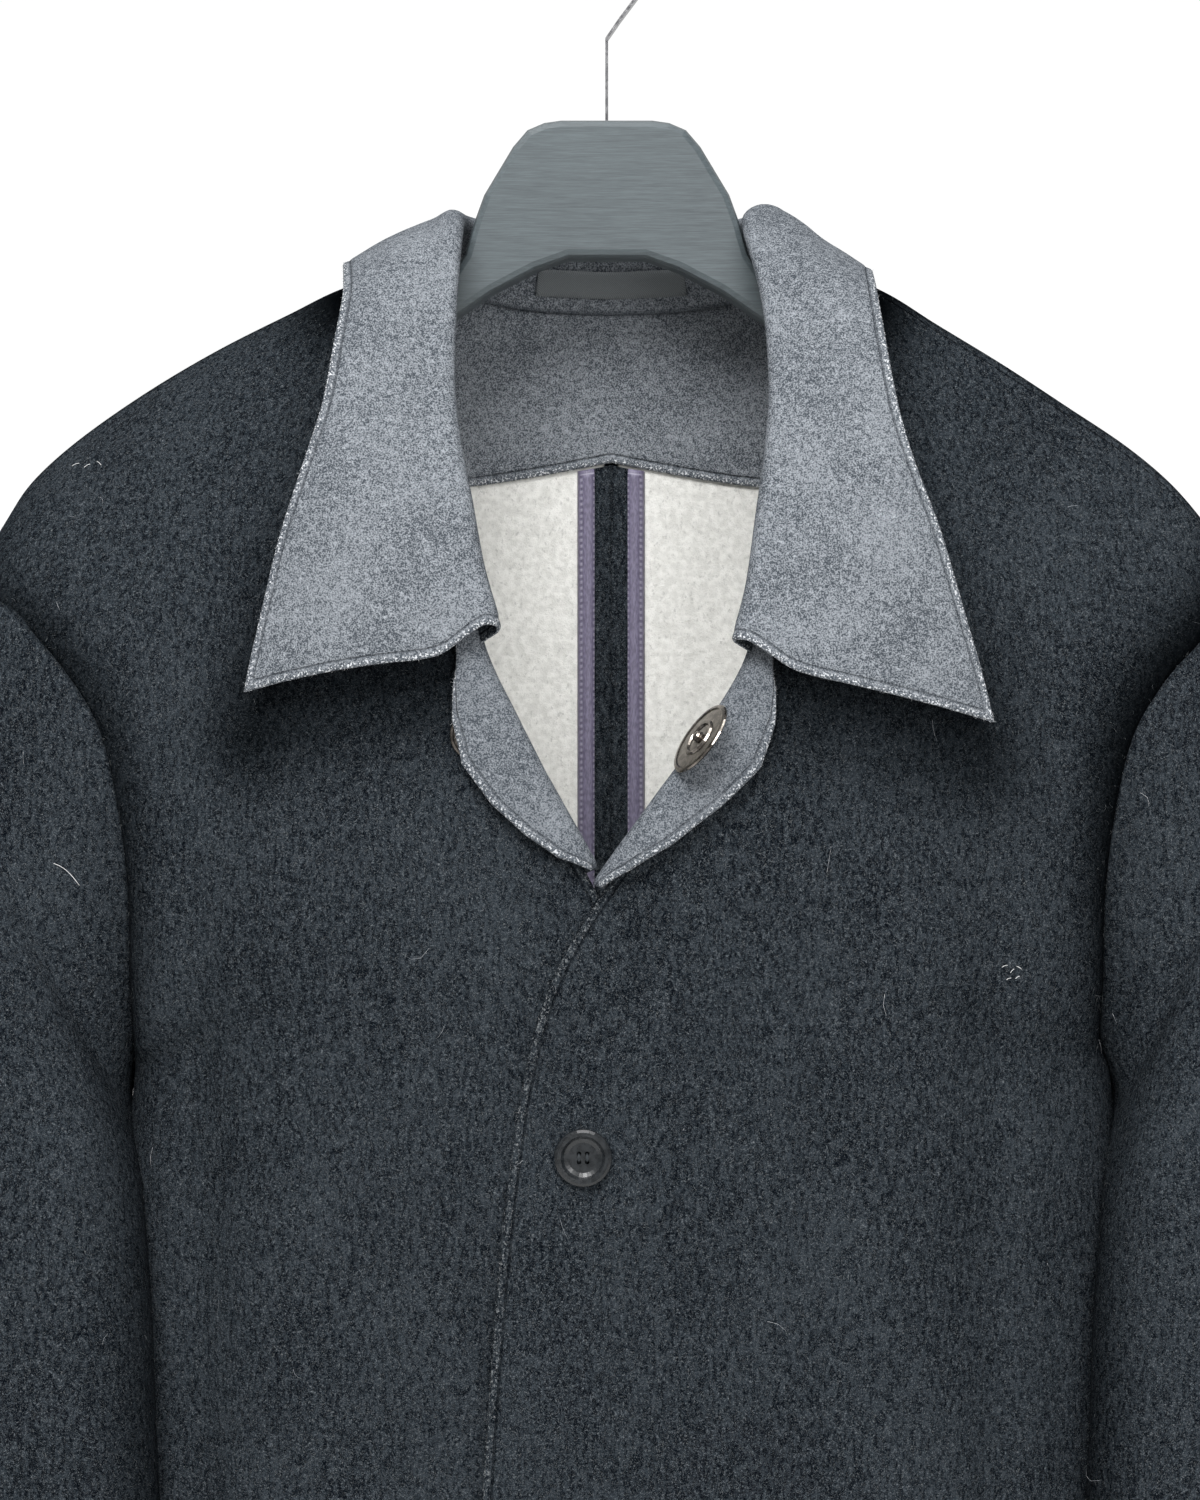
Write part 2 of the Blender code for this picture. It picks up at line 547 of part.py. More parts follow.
def turned(name, profile, steps, material):
    """A solid turned about its own Z axis from a profile, which runs down its outer side."""
    mesh = bpy.data.meshes.new(name)
    points = [(radius * MM, 0, height * MM) for radius, height in profile]
    mesh.from_pydata(points, [(k, k + 1) for k in range(len(points) - 1)], [])
    thing = new_object(name, mesh, material)
    screw = thing.modifiers.new("turn", 'SCREW')
    screw.steps = screw.render_steps = steps
    screw.use_merge_vertices = True
    screw.merge_threshold = 0.00005
    screw.use_smooth_shade = True
    return thing


def front_level(side, x, z):
    """How far forward the outside of a front lies at a place seen from the front."""
    across, row = np.meshgrid(np.linspace(0, 0.6, 60), np.linspace(7, HEM_ROW, 200))
    points = moved(lambda u, v: front(side, u, v), across, row, CLOTH, -side).reshape(-1, 3)
    return points[np.argmin((points[:, 0] - x) ** 2 + (points[:, 2] - z) ** 2), 1]


def make_buttons(horn):
    """Coat buttons with a raised rim, a dished middle and four holes, down the top front."""
    rim, height = BUTTON_RADIUS, BUTTON_THICK
    profile = ((0, height * 0.50), (rim * 0.52, height * 0.52), (rim * 0.66, height * 0.66),
               (rim * 0.76, height * 0.98), (rim * 0.88, height), (rim * 0.97, height * 0.80),
               (rim, height * 0.55), (rim * 0.93, height * 0.22), (rim * 0.62, 0.0), (0, 0))
    for number, z in enumerate(BUTTON_Z, start=1):
        button = turned("button_%d" % number, profile, 28, horn)
        button.rotation_euler = (math.radians(90), 0, 0)
        place = np.array((BUTTON_X, front_level(RIGHT, BUTTON_X, z) - NEAR, z))
        button.location = to_metres(place)
        shape = bmesh.new()
        for corner in range(4):
            angle = math.radians(45 + 90 * corner)
            middle = (BUTTON_HOLE_RING * math.cos(angle) * MM, BUTTON_HOLE_RING * math.sin(angle) * MM, 0)
            made = bmesh.ops.create_cone(shape, cap_ends=True, segments=8, radius1=BUTTON_HOLE * MM,
                                         radius2=BUTTON_HOLE * MM, depth=0.02)
            bmesh.ops.translate(shape, verts=made["verts"], vec=middle)
        mesh = bpy.data.meshes.new("holes_%d" % number)
        shape.to_mesh(mesh)
        shape.free()
        cutter = bpy.data.objects.new("holes_%d" % number, mesh)
        bpy.data.collections["cutters"].objects.link(cutter)
        cutter.location, cutter.rotation_euler = button.location, button.rotation_euler
        cutter.hide_render = True
        cutter.display_type = 'WIRE'
        cut = button.modifiers.new("holes", 'BOOLEAN')
        cut.operation = 'DIFFERENCE'
        cut.object = cutter


def make_hanger(wood):
    """A flat wooden hanger with a domed middle, and its flat steel hook."""
    curve = bpy.data.curves.new("hanger", 'CURVE')
    curve.dimensions = '2D'
    curve.fill_mode = 'BOTH'
    outline = curve.splines.new('POLY')
    points = list(HANGER_OUTLINE) + [(-x, z) for x, z in reversed(HANGER_OUTLINE)]
    outline.points.add(len(points) - 1)
    for point, (x, z) in zip(outline.points, points):
        point.co = ((x + HANGER_SHIFT) * MM, (z - SEAT_RISE) * MM, 0, 1)
    outline.use_cyclic_u = True
    curve.extrude = (HANGER_THICK / 2 - HANGER_EDGE) * MM
    curve.bevel_depth = HANGER_EDGE * MM
    curve.bevel_resolution = 1
    curve.offset = -HANGER_EDGE * MM
    drawn = bpy.data.objects.new("hanger_outline", curve)
    bpy.context.scene.collection.objects.link(drawn)
    drawn.rotation_euler = (math.radians(90), 0, 0)
    bpy.context.view_layer.update()
    graph = bpy.context.evaluated_depsgraph_get()
    mesh = bpy.data.meshes.new_from_object(drawn.evaluated_get(graph))
    shape = bmesh.new()
    shape.from_mesh(mesh)
    bmesh.ops.remove_doubles(shape, verts=shape.verts, dist=0.00001)
    shape.to_mesh(mesh)
    shape.free()
    hanger = new_object("hanger", mesh, wood)
    hanger.matrix_world = drawn.matrix_world
    bpy.data.objects.remove(drawn, do_unlink=True)


def make_hook(steel):
    """A flat strip: a stem, then an open round hook in the plane of the hanger."""
    half_thick, half_deep = HOOK_STRIP[0] / 2, HOOK_STRIP[1] / 2
    foot, knee = HANGER_OUTLINE[0][1] + NEAR, -31.0
    centre_z = SEAT_RISE - HOOK_RADIUS
    angles = np.radians(np.linspace(-20, 200, 23))
    middle = np.concatenate((
        ((HOOK_X, foot), (HOOK_X, (foot + knee) / 2), (HOOK_X, knee)),
        ((HOOK_X + 5.5, knee + 8.0), (HOOK_X + 13.0, knee + 18.0)),
        np.stack(((HOOK_RADIUS + half_thick) * np.cos(angles),
                  centre_z + (HOOK_RADIUS + half_thick) * np.sin(angles)), axis=1)))
    slope = unit(np.gradient(middle, axis=0))
    square = np.stack((-slope[:, 1], slope[:, 0]), axis=1)
    shape = bmesh.new()
    rings = []
    for at, out in zip(middle, square):
        ring = []
        for across, deep in ((-1, -1), (1, -1), (1, 1), (-1, 1)):
            x, z = at + out * half_thick * across
            ring.append(shape.verts.new(to_metres(np.array((x, deep * half_deep, z)))))
        rings.append(ring)
    for low, high in zip(rings, rings[1:]):
        for k in range(4):
            shape.faces.new((low[k], low[(k + 1) % 4], high[(k + 1) % 4], high[k]))
    shape.faces.new(rings[0][::-1])
    shape.faces.new(rings[-1])
    bmesh.ops.recalc_face_normals(shape, faces=shape.faces)
    mesh = bpy.data.meshes.new("hook")
    shape.to_mesh(mesh)
    shape.free()
    new_object("hook", mesh, steel)


def make_snap(metal):
    """A large sew-on snap at the top of the front: a round plate with a stud on it."""
    profile = ((0, 3.6), (1.6, 3.4), (2.3, 2.6), (1.9, 1.9), (2.6, 1.4), (6.0, 1.2), (6.6, 1.9),
               (7.6, 1.9), (8.2, 1.1), (13.6, 0.9), (14.2, 1.3), (SNAP_RADIUS, 1.1),
               (SNAP_RADIUS + 0.4, 0.5), (SNAP_RADIUS, 0), (0, 0))
    snap = turned("snap_stud", profile, 32, metal)
    snap.rotation_euler = Vector(SNAP_FACES).to_track_quat('Z', 'Y').to_euler()
    snap.location = to_metres(np.array(SNAP_CENTRE))
    plate = [(radius * SOCKET_SIZE, height * SOCKET_SIZE) for radius, height in profile[5:]]
    socket = turned("snap_socket", [(0, plate[0][1])] + plate, 32, metal)
    socket.rotation_euler = Vector(SOCKET_FACES).to_track_quat('Z', 'Y').to_euler()
    socket.location = to_metres(np.array(SOCKET_CENTRE))


def build():
    for old in list(bpy.data.objects):
        bpy.data.objects.remove(old, do_unlink=True)
    bpy.context.scene.collection.children.link(bpy.data.collections.new("chore_jacket"))
    bpy.context.scene.collection.children.link(bpy.data.collections.new("cutters"))
    coat, flannel = colour("coat", 0.95), colour("flannel", 0.95)
    tape, binding = colour("tape", 0.8), colour("binding", 0.6)
    make_fronts(coat)
    make_backs(coat)
    make_sleeves(coat)
    make_collar(flannel, coat, tape)
    make_lapels(flannel, coat)
    make_back_inside(flannel, coat, binding)
    make_buttons(colour("horn", 0.3))
    make_snap(colour("gunmetal", 0.3, 1.0))
    make_hanger(colour("wood", 0.5))
    make_hook(colour("steel", 0.3, 1.0))


build()
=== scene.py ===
"""The looks of a chore jacket of double-faced wool on its hanger: cloth, seams, nap and light.

The cloth pieces are worked out from the same sections as the part's solids, in the same
millimetres, on finer grids and with the soft folds in which the jacket hangs. The body is
a little wider below the armholes than the solids, and the collar's ends hang lower.
"""
import math
from functools import partial

import bpy
import numpy as np
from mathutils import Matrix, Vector


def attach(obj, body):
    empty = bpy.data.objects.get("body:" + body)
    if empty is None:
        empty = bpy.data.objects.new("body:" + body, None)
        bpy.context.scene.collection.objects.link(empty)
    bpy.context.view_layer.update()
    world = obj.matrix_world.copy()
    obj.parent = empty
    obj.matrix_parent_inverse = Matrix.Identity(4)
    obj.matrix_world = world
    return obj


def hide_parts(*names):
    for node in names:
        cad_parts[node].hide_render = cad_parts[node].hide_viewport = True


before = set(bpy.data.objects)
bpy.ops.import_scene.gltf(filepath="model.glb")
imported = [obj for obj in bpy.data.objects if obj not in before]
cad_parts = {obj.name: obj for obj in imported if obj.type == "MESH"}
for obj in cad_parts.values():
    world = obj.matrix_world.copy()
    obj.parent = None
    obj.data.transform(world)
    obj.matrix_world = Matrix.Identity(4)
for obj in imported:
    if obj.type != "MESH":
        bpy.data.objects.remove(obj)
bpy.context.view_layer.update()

MM = 0.001
SEAT_RISE = 20.0         # inside top of the hook above the zero level of the tables
CLOTH = 2.5              # thickness of the coat cloth
COLLAR_CLOTH = 2.0       # thickness of the collar and facing flannel
NEAR = 0.4               # gap between pieces that lie on each other
LEFT, RIGHT = -1, 1      # the viewer's sides
SIDE_EDGE = 0.9995       # share across a panel where it ends at the armhole or side seam
SLEEVE_GAP = 0.0022      # of the ring, between the two sleeve pieces

# The shoulder line, seen from the front: the inside of the cloth on the ridge.
SHOULDER_X = (0, 55, 80, 111, 134, 162, 188, 212, 230, 243, 252, 260, 266)
SHOULDER_Z = {LEFT: (-120, -122, -127, -136, -147, -161, -176, -192, -206, -219, -233, -247, -256),
              RIGHT: (-120, -122, -127, -139, -153, -170, -187, -203, -218, -233, -247, -259, -268)}
SHOULDER_SEAM_Y = {LEFT: 5.0, RIGHT: -13.0}
BACK_NECK = dict(x=(0, 30, 52, 68, 76, 80), y=(51, 49, 42, 28, 14, 5),
                 z=(-140.1, -139.1, -136.1, -130.9, -128.2, -128))

# Cross lines of a front, from its neckline, roll line or front edge (in) to the armhole
# or side seam (out). square is the power of the oval that the line follows in plan.
# columns: in_x in_y in_z out_x out_y out_z square
FRONT_ROWS = {
    LEFT: (
        (80, 5, -127, 266, 5, -256, 2.0),
        (80, -10, -133, 264, -10, -259, 2.0),
        (78, -24, -146, 256, -24, -266, 2.0),
        (77, -36, -165, 240, -36, -277, 2.0),
        (76, -48, -192, 224, -44, -292, 2.0),
        (74, -58, -222, 207, -48, -318, 2.0),
        (68, -67, -256, 198, -48, -352, 2.2),
        (58, -74, -292, 194, -44, -387, 2.4),
        (41, -77, -322, 194, -36, -422, 2.5),
        (24, -78, -352, 194, -22, -448, 2.6),
        (6, -78, -385, 196, -0.6, -464, 2.6),
        (-12, -77, -425, 200, -0.6, -505, 2.6),
        (-24, -76, -490, 200, -0.6, -560, 2.7),
        (-30, -75, -600, 199, -0.6, -640, 2.7),
        (-32, -74, -740, 199, -0.6, -752, 2.7),
        (-33, -73, -874, 200, -0.6, -868, 2.7)),
    RIGHT: (
        (80, -13, -127, 260, -13, -268, 2.0),
        (79, -20, -135, 257, -20, -271, 2.0),
        (77, -29, -149, 250, -28, -277, 2.0),
        (76, -39, -168, 238, -37, -287, 2.0),
        (75, -50, -194, 224, -44, -300, 2.0),
        (73, -60, -224, 210, -48, -322, 2.0),
        (67, -69, -258, 202, -48, -352, 2.2),
        (59, -76, -294, 198, -44, -387, 2.4),
        (40, -80, -324, 198, -36, -422, 2.5),
        (18, -82, -354, 198, -22, -448, 2.6),
        (-6, -82, -388, 205, -0.6, -464, 2.6),
        (-27, -82, -428, 208, -0.6, -505, 2.6),
        (-40, -81, -490, 208, -0.6, -560, 2.7),
        (-50, -81, -600, 207, -0.6, -640, 2.7),
        (-57, -81, -740, 207, -0.6, -752, 2.7),
        (-60, -80, -874, 208, -0.6, -868, 2.7)),
}
UNDERARM_ROW = 10

# Cross lines of a back half, from the centre seam (in) to the armhole or side seam (out).
# columns: in_x in_y in_z out_x out_y out_z square
BACK_ROWS = (
    (0, 51, -145, 264, 5, -256, 2.0),
    (0, 54, -165, 262, 14, -262, 2.0),
    (0, 57, -195, 246, 27, -274, 2.0),
    (0, 60, -235, 226, 37, -298, 2.0),
    (0, 62, -285, 207, 41, -334, 2.1),
    (0, 63, -335, 197, 38, -376, 2.3),
    (0, 64, -385, 195, 28, -416, 2.5),
    (0, 64, -430, 194, 14, -446, 2.6),
    (0, 64, -455, 196, 0.6, -464, 2.6),
    (0, 63, -500, 200, 0.6, -505, 2.7),
    (0, 63, -560, 200, 0.6, -560, 2.7),
    (0, 62, -640, 199, 0.6, -640, 2.7),
    (0, 61, -752, 199, 0.6, -752, 2.7),
    (0, 60, -876, 200, 0.6, -868, 2.7))
BACK_UNDERARM_ROW = 8

# Rings of a sleeve below its armhole: the outer point, the inner point and half the depth.
# columns: out_x out_y out_z in_x in_y in_z half_depth
SLEEVE_ROWS = (
    (280, -1, -274, 202, -8.5, -473, 40),
    (298, -4, -305, 199, -23, -486, 41),
    (313, -8, -348, 195, -38, -503, 40),
    (324, -12, -402, 192, -48, -526, 38),
    (331, -16, -462, 189, -54, -558, 37),
    (334, -20, -532, 187, -57, -604, 36),
    (333, -26, -612, 184, -58, -662, 35),
    (328, -32, -702, 183, -60, -732, 35),
    (320, -38, -790, 184, -60, -802, 35),
    (313, -42, -842, 186, -60, -848, 34))
SLEEVE_SHIFT = {LEFT: (0.0, 0.0), RIGHT: (-4.0, 9.0)}      # added to out_x and in_x
SLEEVE_SEAMS = (1.12, 1.45)      # where round the ring the two sleeve pieces meet

# Stations of the collar, from the centre back to the notch: where it is sewn (neck),
# the top of its stand (roll) and its outer edge.
# columns: neck_x neck_y neck_z roll_x roll_y roll_z edge_x edge_y edge_z belly
COLLAR_ROWS = {
    LEFT: (
        (0, 49, -142, 0, 45, -112, 0, 70, -168, 3),
        (30, 47, -141, 28, 43, -111, 42, 67, -164, 3),
        (52, 40, -138, 47, 33, -110, 76, 52, -153, 3),
        (67, 27, -133, 58, 18, -109, 99, 30, -139, 3),
        (75, 13, -128, 63, 2, -109, 110, 6, -129, 4),
        (78, -3, -126, 64, -18, -115, 110, -23, -131, 4),
        (79, -18, -134, 65, -34, -131, 109, -45, -144, 5),
        (78, -32, -150, 66, -45, -152, 112, -59, -165, 5),
        (77, -45, -178, 66, -57, -181, 116, -67, -190, 6),
        (75, -55, -206, 63, -66, -207, 123, -73, -214, 7),
        (72, -64, -234, 59, -73, -230, 132, -76, -243, 7),
        (66, -70, -260, 54, -79, -256, 138, -77, -268, 7),
        (61, -74, -279, 49, -82, -274, 144, -77, -294, 7),
        (58, -76, -289, 47, -84, -282, 146, -77, -305, 7)),
    RIGHT: (
        (0, 49, -142, 0, 45, -112, 0, 70, -168, 3),
        (30, 47, -141, 28, 43, -111, 42, 67, -164, 3),
        (52, 40, -138, 45, 33, -110, 76, 52, -153, 3),
        (67, 27, -133, 53, 18, -110, 99, 30, -140, 3),
        (75, 13, -128, 56, 2, -109, 107, 6, -131, 4),
        (78, -3, -126, 58, -18, -117, 107, -26, -134, 4),
        (79, -22, -136, 62, -35, -133, 108, -48, -147, 5),
        (78, -35, -152, 65, -47, -153, 111, -62, -170, 5),
        (77, -48, -180, 66, -59, -182, 115, -71, -194, 6),
        (75, -58, -208, 64, -68, -208, 121, -77, -216, 7),
        (71, -66, -236, 60, -76, -236, 130, -81, -241, 7),
        (66, -72, -262, 56, -82, -262, 139, -83, -272, 7),
        (61, -77, -281, 52, -86, -278, 147, -83, -300, 7),
        (59, -79, -291, 50, -88, -286, 151, -83, -317, 7)),
}
COLLAR_STAND_END, COLLAR_FOLD_END = 0.22, 0.42      # shares of the collar's width
COLLAR_FOLD = 4.0        # radius of the fold along the top of the stand
COLLAR_CLEARANCE = 5.6   # from the body to the hidden face of the fall
COLLAR_SAG = {LEFT: 9.0, RIGHT: 6.5}     # how far the ends hang below a straight line
COLLAR_CORNER = 0.16     # share of the fall at which they hang lowest
MOST_PUSH, BLOCK = 12, 500               # furthest the fall is lifted at a time; points at a time

# The turned back edge of each front, from the notch to the foot of the neck opening.
# Jut is how far its roll stands inward of the front's edge, to carry on the collar's roll.
# columns: row width turn jut
LAPEL_ROWS = {
    LEFT: (
        (7.15, 14, 180, 6), (7.5, 20, 180, 4), (8.0, 23, 178, 1), (8.6, 20, 174, 0),
        (9.1, 15, 168, 0), (9.5, 10, 150, 0), (9.75, 6, 110, 0)),
    RIGHT: (
        (7.15, 14, 180, 5), (7.5, 18, 180, 1.5), (8.0, 22, 178, 0), (8.6, 19, 172, 0),
        (9.2, 13, 165, 0), (9.6, 7, 150, 0), (9.85, 4, 120, 0)),
}
LAPEL_SLANT = 0.95       # rows by which its top end rises from its free edge to the roll
LAPEL_ROLL = 4.6         # radius of the soft roll
LAPEL_INSIDE = 0.11      # share of the front that the facing covers behind the roll

FRONT_RUN, BACK_RUN = (0.0, 15.0), (0.03, 13.0)     # first and last row of the body's pieces
SLEEVE_RUN = (-0.05, 10.0)               # and of the sleeves, from inside the armhole
FACING_END = 2.27        # row of the backs where their neck facing ends
# Shares of the collar's length and width at which the undercollar ends.
UNDERCOLLAR_INSET, UNDERCOLLAR_END = 1 / 36, 0.985
LOOP_STATIONS, LOOP_SHARES = (-1.1, 1.1), (0.066, 0.136)      # where the loop lies on the stand
ALLOWANCE_WIDTH = 7.2    # each open allowance of the centre back seam
SEAM_OPEN = 0.12         # half the gap between them
BINDING_WIDTH = 5.4      # bias tape bound round the edge of each allowance
BINDING_THICK = 3.0
LOOP_THICK = 1.2

# Soft folds of the panels: x is outward from the centre line, lean how far the fold
# drifts outward on its way down, depth is out of the cloth (a trough is negative).
# columns: x z_top z_bottom lean width depth
FRONT_FOLDS = {
    LEFT: (
        (128, -270, -900, 10, 22, 2.4), (166, -350, -900, 2, 13, -3.0), (96, -330, -900, -6, 15, -1.8),
        (66, -470, -900, 8, 16, 1.3), (34, -520, -900, -5, 12, -1.2), (112, -600, -900, 12, 9, 1.0),
        (150, -200, -330, 18, 14, -1.2), (20, -400, -640, 6, 9, 0.8)),
    RIGHT: (
        (152, -330, -900, 6, 13, -3.4), (122, -260, -900, -8, 20, 2.4), (88, -330, -900, -10, 14, -1.6),
        (58, -370, -900, -12, 13, 1.3), (26, -430, -900, -6, 13, -1.0), (100, -560, -900, 10, 9, 1.1),
        (-14, -560, -900, 4, 10, 0.8), (170, -220, -330, 10, 12, -1.4)),
}
BACK_FOLDS = {
    LEFT: (
        (48, -300, -900, 8, 20, 2.0), (92, -260, -900, 10, 17, -2.4), (134, -330, -900, 5, 15, 2.2),
        (168, -400, -900, -6, 12, -2.6), (22, -520, -900, 5, 11, -1.2)),
    RIGHT: (
        (40, -280, -900, 12, 18, 1.8), (84, -330, -900, 6, 19, -2.2), (128, -300, -900, 12, 16, 2.4),
        (162, -380, -900, 3, 13, -2.8), (16, -600, -900, 3, 9, -1.0)),
}
# Folds of the sleeves: ring is the place round the arm, place the row down it, turn how far
# the fold runs round the arm from its upper to its lower end.
# columns: ring place_top place_bottom turn width depth
SLEEVE_FOLDS = {
    LEFT: (
        (0.46, 1.2, 10.5, 0.10, 0.09, 2.0), (0.70, 0.6, 8.0, -0.16, 0.07, -2.6),
        (0.25, 2.0, 10.5, -0.06, 0.08, -1.4), (0.10, 3.0, 8.5, 0.12, 0.07, 1.2),
        (0.86, 1.5, 6.0, -0.26, 0.05, 2.0), (1.30, 1.0, 9.0, 0.20, 0.09, -2.2),
        (1.62, 1.6, 10.5, -0.14, 0.08, 1.8)),
    RIGHT: (
        (0.44, 1.0, 10.5, 0.06, 0.08, 2.2), (0.66, 0.6, 9.0, -0.10, 0.07, -2.8),
        (0.27, 2.4, 10.5, 0.05, 0.07, -1.6), (0.12, 1.6, 9.5, -0.06, 0.08, 1.4),
        (0.84, 2.0, 7.0, -0.20, 0.05, 1.8), (1.34, 1.4, 9.5, 0.16, 0.08, -2.0),
        (1.60, 1.2, 10.5, -0.10, 0.09, 2.0)),
}

FAR = 100.0              # stands for no border near
STITCH_IN = 3.6          # topstitching inside a raw edge
STITCH_SINK = 0.35       # how deep the stitches lie
STITCH_LENGTH = 2.6
STITCH_WIDTH = 0.9
RAW_ROUND, RAW_REACH = 0.34, 0.5         # shares of its thickness by which a cut border thins
SEAM_ROUND, SEAM_REACH = 0.26, 1.1       # and a sewn one, and over what width
NEAR_ROUND = 0.4         # share of that thinning on the near face
SEAM_LAP = 0.9           # sewn borders reach this far into each other
BORDER_STEPS = (0.35, 0.9, 1.8, 2.9, 3.6, 4.3, 5.4)     # grid lines close to a border
FOLD_START = 120.0       # length over which a fold fades in
# Loose fibres: length is between least and least + more, and bend a share of it.
# columns: least more bend radius seed
FIBRES = {
    "nap_fibres": (1.2, 2.6, 0.25, 0.045, 8),
    "stray_fibres": (4.5, 8.0, 0.22, 0.0585, 12),
    "edge_fibres": (0.6, 1.1, 0.35, 0.05175, 10),
}
STRAY_FIBRES = 70        # longer pale ones on the coat cloth
LINT_RADIUS, LINT_LIFT = 0.135, 0.25     # of the pale threads, and their height above the cloth
BINDING_BULGE = 0.9      # how far the middle of a bound edge stands out
# How dark the painted shade is on the body beside the arms, standing in for the shadow in the creases by the
# sleeves.
# columns: shade reach
SIDE_SHADE = {LEFT: (0.75, 16.0), RIGHT: (0.95, 20.0)}
SLEEVE_SHADE = 0.8       # share of that on the sleeves
SHADE_FROM = 186.0       # distance from the centre line out to which they are darkest
# Painted shadow under the collar, darkest DROP below its free edges; and painted shade on the facings.
COLLAR_SHADE, COLLAR_REACH, COLLAR_SHADE_DROP = 1.0, 24.0, 14.0
FACING_SHADE = 0.22
THREAD = 0.27            # radius of the sewing thread
THREAD_SINK = 0.7        # depth to which it goes down in the holes
STRANDS = ((-0.42, 0.55), (0.0, 0.8), (0.42, 0.6))      # columns: aside lift
BUTTON_DISH = 2.0        # how far a button's middle lies behind its rim
BUTTON_HOLE_OUT = 1.63   # of each hole, across and up from the middle
BACK_FACING_ACROSS = 0.19                # share of the backs that the neck facing covers

# Grid lines across and down each piece.
FRONT_GRID = (105, 200)
BACK_GRID = (60, 110)
UPPER_GRID = (80, 170)
UNDER_GRID = (50, 130)
COLLAR_GRID = (230, 70)
UNDERCOLLAR_GRID = (150, 26)
FACING_GRID = (60, 120)

CLOTHS = ("coat", "flannel")             # slots that are cloth; the others are tapes

# Where loose fibres lie; shares of the piece's grid across and down.
# columns: piece count u_share v_share
NAP = (
    ("front_left_cloth", 2100, (0.0, 1.0), (0.02, 0.75)),
    ("front_right_cloth", 2300, (0.0, 1.0), (0.02, 0.75)),
    ("sleeve_upper_left_cloth", 1300, (0.3, 1.0), (0.0, 0.75)),
    ("sleeve_upper_right_cloth", 1300, (0.3, 1.0), (0.0, 0.75)),
    ("sleeve_under_left_cloth", 300, (0.0, 0.4), (0.0, 0.75)),
    ("sleeve_under_right_cloth", 300, (0.0, 0.4), (0.0, 0.75)),
    ("back_left_cloth", 300, (0.0, 1.0), (0.0, 0.3)), ("back_right_cloth", 300, (0.0, 1.0), (0.0, 0.3)),
)
RAW_EDGES = (
    ("collar_cloth", 1100, (0.0, 1.0), (0.93, 1.0)), ("collar_cloth", 420, (0.0, 0.02), (0.45, 1.0)),
    ("collar_cloth", 420, (0.98, 1.0), (0.45, 1.0)),
    ("facing_left_cloth", 300, (0.93, 1.0), (0.0, 1.0)), ("facing_right_cloth", 420, (0.9, 1.0), (0.0, 1.0)),
    ("front_right_cloth", 700, (0.0, 0.035), (0.3, 0.8)), ("neck_facing_cloth", 260, (0.0, 1.0), (0.95, 1.0)),
)

# Pale threads caught in the nap, seen from the front.
# columns: piece x_from z_from x_to z_to bend
LINT = (
    ("front_right_cloth", 156.0, -415.0, 158.3, -414.2, 0.3),
    ("front_right_cloth", 159.5, -417.2, 161.0, -415.6, 0.2),
    ("front_right_cloth", 162.0, -414.6, 164.0, -415.8, 0.2),
    ("front_right_cloth", 158.0, -420.0, 159.8, -419.3, 0.2),
    ("front_right_cloth", 161.6, -419.6, 163.2, -418.6, 0.2),
    ("front_left_cloth", -224.0, -210.0, -221.0, -209.0, 0.3),
    ("front_left_cloth", -218.5, -211.0, -216.0, -209.6, 0.3),
    ("front_left_cloth", -213.0, -208.5, -211.0, -210.2, 0.2),
    ("sleeve_upper_left_cloth", -226.5, -374.0, -216.0, -383.0, 1.6),
)

COAT_DARK, COAT_MID, COAT_PALE = (0.003, 0.0045, 0.007), (0.037, 0.046, 0.055), (0.21, 0.23, 0.25)
COAT_FIBRE, COAT_SHADE = (0.27, 0.285, 0.29), (0.0012, 0.0016, 0.002)
CREAM, CREAM_SHADE, CREAM_FLECK = (0.90, 0.895, 0.86), (0.76, 0.755, 0.72), (0.34, 0.335, 0.32)
FLANNEL, FLANNEL_DARK = (0.255, 0.275, 0.30), (0.055, 0.064, 0.076)
FLANNEL_PALE, FLANNEL_RIM = (0.50, 0.53, 0.57), (0.070, 0.082, 0.097)
WHITE_WOOL = (0.85, 0.87, 0.90)
BINDING, BINDING_DARK, BINDING_STITCH = (0.20, 0.18, 0.27), (0.12, 0.105, 0.17), (0.42, 0.40, 0.50)
WOOD, WOOD_DARK = (0.105, 0.13, 0.14), (0.055, 0.068, 0.075)
TAPE_DARK, TAPE = (0.10, 0.11, 0.115), (0.24, 0.26, 0.27)
FLOOR_SHADES = (0.80, 0.80, 0.79), (0.86, 0.86, 0.85)
SHEEN_ROUGHNESS = 0.4
# columns: colour other
YARNS = {
    "loose_wool": ((0.035, 0.042, 0.048), (0.22, 0.235, 0.24)),
    "pale_wool": ((0.30, 0.32, 0.35), (0.85, 0.86, 0.88)),
    "pale_thread": ((0.55, 0.56, 0.57), (0.85, 0.85, 0.86)),
    "thread": ((0.012, 0.015, 0.018), (0.05, 0.058, 0.065)),
}
# columns: colour other roughness metallic scratch coat
HARD = {
    "horn": ((0.010, 0.012, 0.014), (0.024, 0.027, 0.030), 0.24, 0.0, 0.02, 0.25),
    "gunmetal": ((0.20, 0.18, 0.16), (0.42, 0.38, 0.34), 0.20, 1.0, 0.01, 0.0),
    "steel": ((0.10, 0.10, 0.105), (0.20, 0.20, 0.205), 0.30, 1.0, 0.01, 0.0),
}
# Solids that stay, with the finish of each; the hanger is of wood.
SOLIDS = {"hook": "steel", "snap_stud": "gunmetal", "snap_socket": "gunmetal",
          "button_1": "horn", "button_2": "horn", "button_3": "horn"}

